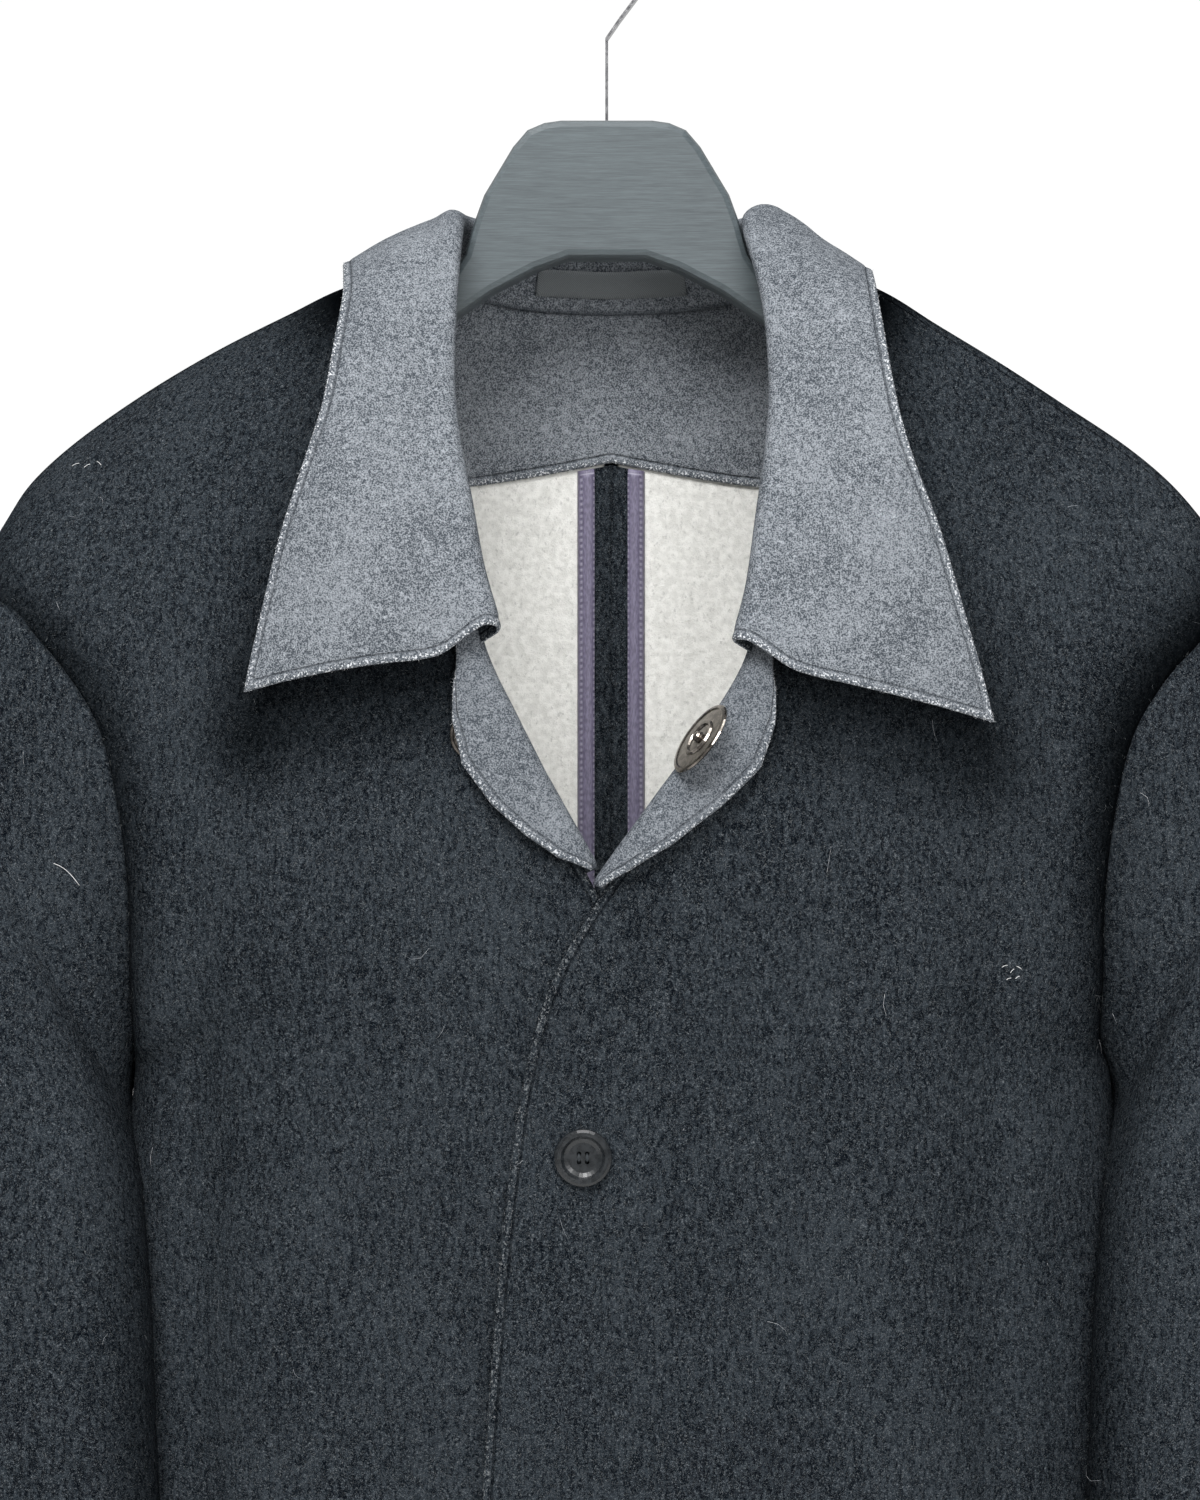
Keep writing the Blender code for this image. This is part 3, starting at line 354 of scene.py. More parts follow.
CAMERA_PLACE = (-0.0048, -1.62, -0.348)
FRONT_PLANE_Y = -0.07
FRAME_HEIGHT = 0.600     # of the picture, at the front plane
SENSOR = 36.0
FLOOR_LEVEL = -1.25
SURROUND, BACKDROP = 0.20, 1.02          # brightness round about, and behind the jacket
BACKDROP_FROM, BACKDROP_TO = 0.55, 0.85  # where between front (-1) and back (1) it changes
# columns: name place aim size watts
LIGHTS = (("key", (-0.5, -2.0, 1.3), (0.0, 0.0, -0.35), (1.5, 1.0), 66),
          ("fill", (0.9, -2.6, 0.1), (0.0, 0.0, -0.4), (1.2, 1.2), 26),
          ("top", (0.1, -0.7, 1.6), (0.0, 0.0, -0.3), (1.4, 0.8), 15))


# ---------------------------------------------------------------- surfaces

def unit(vector):
    """Vectors of length one."""
    return vector / np.linalg.norm(vector, axis=-1, keepdims=True)


def normal(surface, u, v, sign):
    """The direction square to a surface, from two short steps along it."""
    step = 0.004
    along_u = surface(u + step, v) - surface(u - step, v)
    along_v = surface(u, v + step) - surface(u, v - step)
    return unit(np.cross(along_u, along_v)) * sign


def moved(surface, u, v, distance, sign):
    """Points of a surface moved out of it."""
    return surface(u, v) + distance * normal(surface, u, v, sign)


def between(a, b, c, d, t):
    """The smooth curve from b (t = 0) to c (t = 1) that comes from a and goes on to d."""
    return b + 0.5 * t * (c - a + t * (2 * a - 5 * b + 4 * c - d + t * (3 * (b - c) + d - a)))


def along(table, place):
    """Rows of a table at fractional row numbers, on a smooth curve through the rows."""
    rows = np.array(table, dtype=float)
    place = np.clip(np.asarray(place, dtype=float), 0, len(rows) - 1)
    low = np.minimum(place.astype(int), len(rows) - 2)
    t = (place - low)[..., None]
    before, after = np.maximum(low - 1, 0), np.minimum(low + 2, len(rows) - 1)
    return between(rows[before], rows[low], rows[low + 1], rows[after], t)


def smooth_line(places, heights):
    """A smooth curve through a short list of points, read by its first number."""
    points = along(np.stack((places, heights), axis=1), np.linspace(0, len(places) - 1, 200))
    return lambda x: np.interp(x, points[:, 0], points[:, 1])


SHOULDER = {side: smooth_line(SHOULDER_X, SHOULDER_Z[side]) for side in (LEFT, RIGHT)}
NECK_Y = smooth_line(BACK_NECK["x"], BACK_NECK["y"])
NECK_Z = smooth_line(BACK_NECK["x"], BACK_NECK["z"])


def oval_line(cells, across):
    """A cross line: a quarter oval in plan from (in) at across=0 to (out) at across=1."""
    start, end, square = cells[..., 0:3], cells[..., 3:6], cells[..., 6]
    run = np.sin(0.5 * np.pi * across)
    rise = np.power(np.clip(1 - np.power(np.abs(run), square), 0, 1), 1 / square)
    point = start + (end - start) * run[..., None]
    point[..., 1] = end[..., 1] + (start[..., 1] - end[..., 1]) * rise
    return point


def fold_height(folds, x, z):
    """How far a table of folds lifts the cloth: each is a soft ridge, a bell across its
    width, that fades in over FOLD_START below its top and leans on its way down."""
    height = np.zeros_like(x)
    for at, top, bottom, lean, width, depth in folds:
        down = np.clip((top - z) / (top - bottom), 0, 1)
        reach = np.sin(0.5 * np.pi * np.clip((top - z) / FOLD_START, 0, 1)) ** 2
        height += depth * reach * np.exp(-((x - at - lean * down) / width) ** 2)
    return height


def folded(surface, folds, last, sign):
    """A panel's surface with its folds, which fade out towards its side edge."""
    def with_folds(side, across, row):
        point = surface(side, across, row)
        height = fold_height(folds[side], point[..., 0] * side, point[..., 2])
        height *= np.clip((SIDE_EDGE - across) / 0.10, 0, 1)
        inside = np.clip(row, 0.01, last - 0.01)
        out = normal(partial(surface, side), np.clip(across, 0, 0.99), inside, sign * side)
        return point + height[..., None] * out
    return with_folds


def plain_front(side, across, row):
    """The inner face of a front at a share across it and a row of its table."""
    cells = along(FRONT_ROWS[side], row)
    point = oval_line(cells, across)
    top = oval_line(along(FRONT_ROWS[side], np.zeros_like(row)), across)
    fade = np.clip(1 - row / 5.0, 0, 1) ** 1.6
    point[..., 2] += (SHOULDER[side](top[..., 0]) - top[..., 2]) * fade
    point[..., 0] *= side
    return point


def plain_back(side, across, row):
    """The inner face of a back half: its top follows the back neck and the shoulder."""
    cells = along(BACK_ROWS, row)
    if side == RIGHT:
        cells[..., 3] += np.where(row < 2, -4, 4 * np.clip((row - 5) / 3, 0, 1) + 4 * np.clip(row - 7, 0, 1))
    point = oval_line(cells, across)
    x = point[..., 0]
    top_z = np.where(x < 80, NECK_Z(x), SHOULDER[side](x))
    top_y = np.where(x < 80, NECK_Y(x), SHOULDER_SEAM_Y[side])
    plain = oval_line(along(BACK_ROWS, np.zeros_like(row)), across)
    fade = np.clip(1 - row / 4.0, 0, 1) ** 1.7
    point[..., 1] += (top_y - plain[..., 1]) * fade
    point[..., 2] += (top_z - plain[..., 2]) * fade
    point[..., 0] *= side
    return point


front = folded(plain_front, FRONT_FOLDS, len(FRONT_ROWS[LEFT]) - 1, -1)
back = folded(plain_back, BACK_FOLDS, len(BACK_ROWS) - 1, 1)


def armhole(side, ring):
    """The armhole, from the shoulder tip (0) down the front to the underarm (1) and up the back (2)."""
    edge = np.ones_like(ring)
    front_row = np.clip(ring, 0, 1) * UNDERARM_ROW
    back_row = np.clip(2 - ring, 0, 1) * BACK_UNDERARM_ROW
    by_front = moved(partial(front, side), edge * SIDE_EDGE, front_row, CLOTH + NEAR, -side)
    by_back = moved(partial(back, side), edge * SIDE_EDGE, back_row, CLOTH + NEAR, side)
    loop = np.where((ring <= 1)[..., None], by_front, by_back)
    loop[..., 0] += side * CLOTH * np.abs(np.cos(np.pi * ring)) ** 6
    return loop


def sleeve(side, ring, place):
    """The inner face of a sleeve: from the armhole (place 0) through the rings of its table."""
    ring = np.mod(ring, 2.0)
    shift_out, shift_in = SLEEVE_SHIFT[side]
    start = armhole(side, ring)
    rings, middles = [start], [np.mean(start.reshape(-1, 3), axis=0)]
    turn = np.pi * ring
    for out_x, out_y, out_z, in_x, in_y, in_z, half_depth in SLEEVE_ROWS:
        outer = np.array((out_x + shift_out, out_y, out_z), dtype=float)
        inner = np.array((in_x + shift_in, in_y, in_z), dtype=float)
        middle, arm = (outer + inner) / 2, (outer - inner) / 2
        forward = np.array((0.0, -1.0, 0.0))
        forward -= arm * (forward @ arm) / (arm @ arm)
        forward /= np.linalg.norm(forward)
        point = (middle + np.cos(turn)[..., None] * arm
                 + (np.sin(turn) * half_depth)[..., None] * forward)
        point[..., 0] *= side
        rings.append(point)
        middles.append(middle * np.array((side, 1.0, 1.0)))
    rings = np.array(rings)
    low = np.clip(place.astype(int), 0, len(rings) - 2)
    t = (place - low)[..., None]
    pick = np.arange(ring.size).reshape(ring.shape)
    flat = rings.reshape(len(rings), -1, 3)
    a, b = flat[np.maximum(low - 1, 0), pick], flat[low, pick]
    c, d = flat[low + 1, pick], flat[np.minimum(low + 2, len(rings) - 1), pick]
    point = between(a, b, c, d, t)
    height = np.zeros_like(ring)
    for at, top, bottom, turned, width, depth in SLEEVE_FOLDS[side]:
        down = np.clip((place - top) / (bottom - top), 0, 1)
        apart = np.mod(ring - at - turned * down + 1, 2) - 1
        height += depth * np.sin(np.pi * down) ** 0.8 * np.exp(-(apart / width) ** 2)
    return point + height[..., None] * unit(point - along(middles, place))


def lapel(side, share, row):
    """A strip that starts behind a front (share -1), turns round its roll line (0 to 0.5)
    and lies on the front (0.5 to 1)."""
    table = np.array(LAPEL_ROWS[side], dtype=float)
    width = np.interp(row, table[:, 0], table[:, 1])
    turn = np.radians(np.interp(row, table[:, 0], table[:, 2]))
    jut = np.interp(row, table[:, 0], table[:, 3])
    rise = np.where(share < 0, 1 + share, np.clip((1 - share) / 0.5, 0, 1) ** 1.5)
    row = row - LAPEL_SLANT * rise * np.clip((8 - row) / 0.85, 0, 1)
    here = np.zeros_like(row)
    start = front(side, here, row)
    inward = unit(front(side, here + 0.10, row) - start)
    out = normal(partial(front, side), here + 0.04, row, -side)
    centre = start + out * (LAPEL_ROLL - NEAR - COLLAR_CLOTH / 2) - jut[..., None] * inward
    behind = moved(partial(front, side), np.clip(-share, 0, 1) * LAPEL_INSIDE, row, -NEAR, -side)
    bend = np.clip(share / 0.5, 0, 1) * turn
    tail = np.clip(share / 0.5 - 1, 0, 1) * width
    ring = -np.sin(bend)[..., None] * inward - np.cos(bend)[..., None] * out
    run = -np.cos(bend)[..., None] * inward + np.sin(bend)[..., None] * out
    turned = centre + (LAPEL_ROLL - COLLAR_CLOTH / 2) * ring + tail[..., None] * run
    return np.where((share < 0)[..., None], behind, turned)


def collar(station, share):
    """The hidden face of the collar: up the stand, over the fold and down the fall."""
    cells = np.where((station < 0)[..., None], along(COLLAR_ROWS[LEFT], -station),
                     along(COLLAR_ROWS[RIGHT], station))
    side = np.where(station < 0, -1.0, 1.0)
    neck, roll, edge, belly = cells[..., 0:3], cells[..., 3:6], cells[..., 6:9], cells[..., 9]
    rise = unit(roll - neck)
    fall = edge - roll
    out = unit(fall - rise * np.sum(fall * rise, axis=-1)[..., None])
    up = np.clip(share / COLLAR_STAND_END, 0, 1)[..., None]
    fold = np.pi * np.clip((share - COLLAR_STAND_END) / (COLLAR_FOLD_END - COLLAR_STAND_END), 0, 1)
    down = np.clip((share - COLLAR_FOLD_END) / (1 - COLLAR_FOLD_END), 0, 1)[..., None]
    point = neck + (roll - neck) * up
    point += COLLAR_FOLD * ((1 - np.cos(fold))[..., None] * out + np.sin(fold)[..., None] * rise)
    point += (edge - roll - 2 * COLLAR_FOLD * out) * down
    point += (belly * np.sin(np.pi * down[..., 0]))[..., None] * out
    corner = (np.clip(down[..., 0] / COLLAR_CORNER, 0, 1)
              * np.clip((1 - down[..., 0]) / (1 - COLLAR_CORNER), 0, 1))
    near_end = np.clip((np.abs(station) - (len(COLLAR_ROWS[LEFT]) - 3)) / 2, 0, 1) ** 1.5
    point[..., 2] -= np.where(station < 0, COLLAR_SAG[LEFT], COLLAR_SAG[RIGHT]) * corner * near_end
    point[..., 0] *= side
    return point


def lie_on(points, ground, ground_normal, clearance):
    """Move points out until they are clear of the cloth they lie on."""
    flat = points.reshape(-1, 3).copy()
    for _ in range(3):
        for start in range(0, len(flat), BLOCK):
            block = flat[start:start + BLOCK]
            distance = np.linalg.norm(block[:, None, :] - ground[None, :, :], axis=-1)
            nearest = np.argmin(distance, axis=1)
            height = np.sum((block - ground[nearest]) * ground_normal[nearest], axis=-1)
            push = np.clip(clearance - height, 0, MOST_PUSH)
            block += push[:, None] * ground_normal[nearest]
    return flat.reshape(points.shape)


def body_ground():
    """Points and directions of the outside of the fronts and backs near the collar."""
    across, row = np.meshgrid(np.linspace(0.0, 0.99, 50), np.linspace(0.0, 9.0, 90))
    points, directions = [], []
    for side in (LEFT, RIGHT):
        for surface, sign in ((front, -side), (back, side)):
            here = partial(surface, side)
            points.append(moved(here, across, row, CLOTH, sign).reshape(-1, 3))
            directions.append(normal(here, across, row, sign).reshape(-1, 3))
    return np.concatenate(points), np.concatenate(directions)


def net_surface(net, u_range, v_range):
    """A smooth surface through a net of points."""
    def surface(u, v):
        at_u = (u - u_range[0]) / (u_range[1] - u_range[0]) * (net.shape[0] - 1)
        at_v = (v - v_range[0]) / (v_range[1] - v_range[0]) * (net.shape[1] - 1)
        low = np.clip(np.floor(at_v).astype(int), 0, net.shape[1] - 2)
        t = (at_v - low)[..., None]
        flat = net.reshape(net.shape[0], -1)
        lines = along(flat, at_u).reshape(*at_u.shape, net.shape[1], 3)

        def line(k):
            return np.take_along_axis(lines, np.clip(k, 0, net.shape[1] - 1)[..., None, None], -2)[..., 0, :]
        return between(line(low - 1), line(low), line(low + 1), line(low + 2), t)
    return surface


def settled_collar():
    """The collar's surface, its fall lifted clear of the body."""
    ground, directions = body_ground()
    last = len(COLLAR_ROWS[LEFT]) - 1
    station, share = np.meshgrid(np.linspace(-last, last, 4 * last + 1), np.linspace(0, 1, 21),
                                 indexing="ij")
    free = collar(station, share)
    laid = lie_on(free, ground, directions, COLLAR_CLEARANCE)
    lift = (laid - free) * np.clip((share - COLLAR_STAND_END) / 0.2, 0, 1)[..., None]
    for _ in range(2):
        lift[1:-1] = (lift[:-2] + 2 * lift[1:-1] + lift[2:]) / 4
        lift[:, 1:-1] = (lift[:, :-2] + 2 * lift[:, 1:-1] + lift[:, 2:]) / 4
    return net_surface(free + lift, (-last, last), (0, 1)), last


def back_both(across, row):
    """The inside of the two backs; across is negative on the left one."""
    share = np.abs(across)
    return np.where((across < 0)[..., None], back(LEFT, share, row), back(RIGHT, share, row))


def back_strip(x, row):
    """The inside of the two backs, by the distance from their centre seam."""
    out_x = along(BACK_ROWS, row)[..., 3]
    return back_both(2 / np.pi * np.arcsin(np.clip(x / out_x, -0.98, 0.98)), row)


# ---------------------------------------------------------------- cloth pieces

GRIDS = {}               # the far face of each cloth piece and its normals, once it is made


def even_lines(surface, fixed, low, high, count, along_v):
    """Values of one parameter that lie evenly spaced along the surface, measured on the
    line where the other parameter is fixed, with more lines close to both ends."""
    fine = np.linspace(low, high, 600)
    still = np.full_like(fine, fixed)
    points = surface(still, fine) if along_v else surface(fine, still)
    run = np.concatenate(((0.0,), np.cumsum(np.linalg.norm(np.diff(points, axis=0), axis=-1))))
    inner = np.linspace(0, run[-1], count)
    near = np.array(BORDER_STEPS)
    ends = np.concatenate((near, run[-1] - near))
    marks = np.unique(np.round(np.concatenate((inner, ends)), 3))
    return np.interp(marks, run, fine)


def border_runs(points):
    """Distances in millimetres along the grid lines from each of its four borders."""
    def run(axis):
        steps = np.linalg.norm(np.diff(points, axis=axis), axis=-1)
        zero = np.zeros_like(np.take(steps, [0], axis=axis))
        return np.concatenate((zero, np.cumsum(steps, axis=axis)), axis=axis)
    across, down = run(0), run(1)
    return {"u0": across, "u1": across[-1:] - across, "v0": down, "v1": down[:, -1:] - down}


def shell(name, points, sign, thickness, skins, start=0.0, raw=(), shade=0.0):
    """A cloth piece from a grid of points: one face lies start off the points along their
    normals, the other start + thickness, and both meet in a rounded border. skins are the
    materials of the far face, the near face and the border. raw names the borders that
    are cut and topstitched; all others are sewn, sink a little and overlap. shade is how
    much painted shade darkens the piece where shadow falls on it beside another piece."""
    along_u, along_v = np.gradient(points, axis=0), np.gradient(points, axis=1)
    out = unit(np.cross(along_u, along_v)) * sign
    runs = border_runs(points)
    points = points.copy()
    for border, at, ahead in (("u0", np.s_[0], -along_u), ("u1", np.s_[-1], along_u),
                              ("v0", np.s_[:, 0], -along_v), ("v1", np.s_[:, -1], along_v)):
        if border not in raw:
            points[at] += SEAM_LAP * unit(ahead[at])
    edge = np.full(points.shape[:2], FAR)
    for border in raw:
        edge = np.minimum(edge, runs[border])
    seam = np.full(points.shape[:2], FAR)
    for border in set(runs) - set(raw):
        seam = np.minimum(seam, runs[border])
    groove = STITCH_SINK * np.exp(-((edge - STITCH_IN) / STITCH_WIDTH) ** 2)
    sunk = thickness * (RAW_ROUND * np.exp(-(edge / RAW_REACH) ** 2)
                        + SEAM_ROUND * np.exp(-(seam / SEAM_REACH) ** 2))
    far = points + out * (start + thickness - sunk - groove)[..., None]
    near = points + out * (start + NEAR_ROUND * sunk)[..., None]
    columns, rows = points.shape[:2]
    number = np.arange(columns * rows).reshape(columns, rows)
    cells = np.stack((number[:-1, :-1], number[1:, :-1], number[1:, 1:], number[:-1, 1:]), -1).reshape(-1, 4)
    count = columns * rows
    rim = np.concatenate((number[:-1, 0], number[-1, :-1], number[:0:-1, -1], number[0, :0:-1]))
    ahead = np.roll(rim, -1)
    wall = np.stack((rim, rim + count, ahead + count, ahead), -1)
    faces = np.concatenate((cells, cells[:, ::-1] + count, wall))
    if sign < 0:
        faces = faces[:, ::-1]
    both = np.concatenate((far.reshape(-1, 3), near.reshape(-1, 3)))
    piece = new_piece(name, both, faces, skins)
    mesh = piece.data
    last = len(skins) - 1
    index = np.concatenate((np.zeros(len(cells)), np.full(len(cells), min(1, last)),
                            np.full(len(wall), last))).astype(np.int32)
    mesh.polygons.foreach_set("material_index", index)
    for attribute, values in (("edge", edge), ("seam", seam), ("run_u", runs["u0"]), ("run_v", runs["v0"]),
                              ("shade", np.zeros_like(edge) + shade)):
        store(mesh, attribute, np.tile(values.reshape(-1), 2))
    mesh.update()
    GRIDS[name] = far, out
    return piece


def to_metres(points):
    """From the tables' millimetres to the part's own frame."""
    return (points - np.array((0.0, 0.0, SEAT_RISE))) * MM


def put(name, data):
    """A new object in the scene."""
    made = bpy.data.objects.new(name, data)
    bpy.context.scene.collection.objects.link(made)
    return made


def new_piece(name, corners, faces, materials):
    """A smooth mesh object from corners in the tables' millimetres."""
    mesh = bpy.data.meshes.new(name)
    mesh.from_pydata(to_metres(corners), [], faces)
    for material in materials:
        mesh.materials.append(material)
    mesh.shade_smooth()
    return put(name, mesh)


def store(mesh, attribute, values):
    """Keep a number on each corner of a mesh, for its material."""
    layer = mesh.attributes.new(attribute, 'FLOAT', 'POINT')
    layer.data.foreach_set("value", values.astype(np.float32))


def sew(node, slot, rests_on, points, sign, thickness, skins, **borders):
    """Make a cloth piece, named for whether its slot is cloth or tape, attach it to the root body and hide
    the solid it stands for.
    """
    piece = shell(node + ("_cloth" if slot in CLOTHS else "_tape"), points, sign, thickness, skins,
                  **borders)
    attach(piece, "root")
    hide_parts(node)


def grid(surface, u_lines, v_lines):
    """The surface's points at every crossing of two sets of lines."""
    u, v = np.meshgrid(u_lines, v_lines, indexing="ij")
    return surface(u, v)


def side_name(side):
    """The side as the pieces' names give it."""
    return "left" if side == LEFT else "right"


def nearness(points, line, reach):
    """1 at a line of points, falling off as exp(-(distance / reach)^2)."""
    flat = points.reshape(-1, 3)
    nearest = np.full(len(flat), FAR * FAR)
    for corner in line:
        nearest = np.minimum(nearest, np.sum((flat - corner) ** 2, axis=-1))
    return np.exp(-nearest / reach ** 2).reshape(points.shape[:2])


def make_panels(skins, collar_line):
    """Fronts and backs. The grid runs across from the neckline, front edge or centre seam."""
    for side in (LEFT, RIGHT):
        name = side_name(side)
        for part_name, surface, sign, v_range, counts in (
                ("front", front, -side, FRONT_RUN, FRONT_GRID), ("back", back, side, BACK_RUN, BACK_GRID)):
            here = partial(surface, side)
            across = even_lines(here, sum(v_range) * 0.6, 0.0002, SIDE_EDGE, counts[0], False)
            down = even_lines(here, 0.35, *v_range, counts[1], True)
            points = grid(here, across, down)
            raw = ("u0", "v1") if part_name == "front" else ("v1",)
            # painted shade: darker towards the armhole and side seam, and a painted shadow under the collar's
            # free edges
            from_side = np.linalg.norm(points - points[-1:], axis=-1)
            depth, reach = SIDE_SHADE[side]
            shade = np.maximum(depth * np.exp(-(from_side / reach) ** 2),
                               COLLAR_SHADE * nearness(points, collar_line, COLLAR_REACH))
            sew(part_name + "_" + name, "coat", ["hanger"], points, sign, CLOTH, skins, raw=raw, shade=shade)


def make_sleeves(skins):
    """Sleeves of an upper and an under piece; the grid runs round the arm, then down it."""
    first, second = SLEEVE_SEAMS
    for side in (LEFT, RIGHT):
        name = side_name(side)
        for part_name, start, end, counts in (
                ("sleeve_upper", second - 2 + SLEEVE_GAP, first - SLEEVE_GAP, UPPER_GRID),
                ("sleeve_under", first + SLEEVE_GAP, second - SLEEVE_GAP, UNDER_GRID)):
            here = partial(sleeve, side)
            round_arm = even_lines(here, 5.0, start, end, counts[0], False)
            down = even_lines(here, (start + end) / 2, *SLEEVE_RUN, counts[1], True)
            points = grid(here, round_arm, down)
            # painted shade on the sleeves where they hang beside the body
            depth, reach = SIDE_SHADE[side]
            off_body = np.clip(side * points[..., 0] - SHADE_FROM, 0, None)
            shade = SLEEVE_SHADE * depth * np.exp(-(off_body / reach) ** 2)
            sew(part_name + "_" + name, "coat", ["front_" + name + "_cloth", "back_" + name + "_cloth"],
                points, side, CLOTH, skins, raw=("v1",), shade=shade)


def collar_shadow_line(surface, last):
    """Where the painted shadow under the collar is darkest: a little below its free edges, from notch to
    notch.
    """
    stations, shares = np.linspace(-last, last, 260), np.linspace(COLLAR_FOLD_END, 1, 30)
    edges = [surface(stations, np.ones_like(stations))]
    edges += [surface(np.full_like(shares, end), shares) for end in (-last, last)]
    return np.concatenate(edges) - np.array((0.0, 0.0, COLLAR_SHADE_DROP))


def make_collar(surface, last, flannel, coat, tape):
    """Collar and undercollar, from notch to notch, and the hanger loop on the stand."""
    stations = even_lines(surface, 0.7, -last, last, COLLAR_GRID[0], False)
    shares = even_lines(surface, 5.0, 0.02, 1.0, COLLAR_GRID[1], True)
    body = ["front_left_cloth", "front_right_cloth", "back_left_cloth", "back_right_cloth"]
    sew("collar", "flannel", body, grid(surface, stations, shares), 1, COLLAR_CLOTH,
        (flannel, coat, flannel), raw=("u0", "u1", "v1"))
    inset = 2 * last * UNDERCOLLAR_INSET
    stations = even_lines(surface, 0.7, -last + inset, last - inset, UNDERCOLLAR_GRID[0], False)
    shares = even_lines(surface, 5.0, COLLAR_FOLD_END, UNDERCOLLAR_END, UNDERCOLLAR_GRID[1], True)
    sew("undercollar", "coat", ["collar_cloth"], grid(surface, stations, shares), 1, COLLAR_CLOTH,
        (coat,), start=-(NEAR + COLLAR_CLOTH), raw=("u0", "u1", "v1"))
    stations, shares = np.linspace(*LOOP_STATIONS, 60), np.linspace(*LOOP_SHARES, 14)
    sew("hanger_loop", "tape", ["collar_cloth"], grid(surface, stations, shares), 1, LOOP_THICK,
        (tape,), start=COLLAR_CLOTH + 3 * NEAR)


def make_facings(flannel):
    """The facings where the fronts roll open."""
    for side in (LEFT, RIGHT):
        name = side_name(side)
        first, last = LAPEL_ROWS[side][0][0], LAPEL_ROWS[side][-1][0]
        here = partial(lapel, side)
        rows = even_lines(here, 0.4, first, last, FACING_GRID[1], True)
        shares = np.concatenate((np.linspace(-1, -0.05, 18), np.linspace(0, 0.5, 22)[:-1],
                                 np.linspace(0.5, 1.0, 22)))
        # painted shade, which makes the facings darker than the collar of the same flannel
        sew("facing_" + name, "flannel", ["front_" + name + "_cloth"], grid(here, shares, rows), -side,
            COLLAR_CLOTH, (flannel,), raw=("u1", "v0"), shade=FACING_SHADE)


def make_back_inside(flannel, coat, binding):
    """The neck facing inside the back, and the open centre seam with its bound edges."""
    across = np.linspace(-BACK_FACING_ACROSS, BACK_FACING_ACROSS, 120)
    rows = even_lines(back_both, 0.08, BACK_RUN[0], FACING_END, 70, True)
    sew("neck_facing", "flannel", ["back_left_cloth", "back_right_cloth"],
        grid(back_both, across, rows), -1, COLLAR_CLOTH, (flannel,), start=NEAR, raw=("v1",))
    rows = even_lines(back_strip, 3.0, FACING_END + 0.05, BACK_RUN[1], 200, True)
    for side in (LEFT, RIGHT):
        name = side_name(side)
        lines = np.sort(side * np.linspace(SEAM_OPEN, ALLOWANCE_WIDTH, 9))
        sew("seam_allowance_" + name, "coat", ["back_" + name + "_cloth"],
            grid(back_strip, lines, rows), -1, CLOTH, (coat,), start=NEAR)
        lines = np.sort(side * np.linspace(ALLOWANCE_WIDTH + NEAR, ALLOWANCE_WIDTH + BINDING_WIDTH, 13))
        points = grid(back_strip, lines, rows)
        bulge = np.sin(np.linspace(0, np.pi, 13)) ** 0.6
        points = points - np.array((0.0, 1.0, 0.0)) * (BINDING_BULGE * bulge)[:, None, None]
        sew("binding_" + name, "binding", ["seam_allowance_" + name + "_cloth"], points, -1,
            BINDING_THICK - BINDING_BULGE, (binding,), start=NEAR)


# ---------------------------------------------------------------- fibres and thread

def tubes(name, lines, aside, across, radius, sides, material):
    """Joined tubes about lines of points: point = line + radius (cos(turn) aside + sin(turn) across)."""
    count, length = lines.shape[:2]
    corner = np.arange(sides)
    after = (corner + 1) % sides
    turn = corner * 2 * math.pi / sides
    ring = np.cos(turn)[:, None] * aside[:, :, None] + np.sin(turn)[:, None] * across[:, :, None]
    points = lines[:, :, None] + radius * ring
    base = (np.arange(count)[:, None] * length + np.arange(length - 1))[..., None] * sides
    quads = np.stack((base + corner, base + after, base + sides + after, base + sides + corner), -1)
    start = np.arange(count)[:, None] * length * sides
    ends = np.concatenate((start + corner[::-1], start + (length - 1) * sides + corner))
    piece = new_piece(name, points.reshape(-1, 3), quads.reshape(-1, 4).tolist() + ends.tolist(), (material,))
    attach(piece, "root")
    return piece


def fibres(name, roots, direction, dice, material):
    """Joined wool fibres: the middle line of each is root + t length direction + sin(pi t)
    curl length aside, with t from 0 to 1, and its tip is pointed."""
    least, more, bend, radius, seed = FIBRES[name]
    length = least + more * dice.random(len(roots)) ** 2
    curl = bend * dice.normal(size=len(roots))
    aside = unit(np.cross(direction, np.random.default_rng(seed).normal(size=roots.shape)))
    across = unit(np.cross(direction, aside))
    steps = np.array((0.0, 0.35, 0.7, 1.0))
    width = np.array((1.0, 1.0, 0.7, 0.15)) * radius
    line = (roots[:, None] + steps[:, None] * (direction * length[:, None])[:, None]
            + (np.sin(np.pi * steps) * (curl * length)[:, None])[..., None] * aside[:, None])
    return tubes(name, line, aside[:, None], across[:, None], width[:, None, None], 3, material)


def spots(name, count, seed, u_share, v_share):
    """Random places on the far face of a cloth piece, with its normals there."""
    far, out = GRIDS[name]
    dice = np.random.default_rng(seed)
    u = (u_share[0] + (u_share[1] - u_share[0]) * dice.random(count)) * (far.shape[0] - 1.001)
    v = (v_share[0] + (v_share[1] - v_share[0]) * dice.random(count)) * (far.shape[1] - 1.001)
    low_u, low_v = u.astype(int), v.astype(int)
    s, t = (u - low_u)[:, None], (v - low_v)[:, None]

    def mixed(net):
        top = net[low_u, low_v] * (1 - s) + net[low_u + 1, low_v] * s
        bottom = net[low_u, low_v + 1] * (1 - s) + net[low_u + 1, low_v + 1] * s
        return top * (1 - t) + bottom * t
    return mixed(far), unit(mixed(out))


def scattered(table, seed):
    """Random places on all the pieces of a table, with the normals there."""
    found = [spots(name, count, seed + number, u_share, v_share)
             for number, (name, count, u_share, v_share) in enumerate(table)]
    return [np.concatenate(values) for values in zip(*found)]


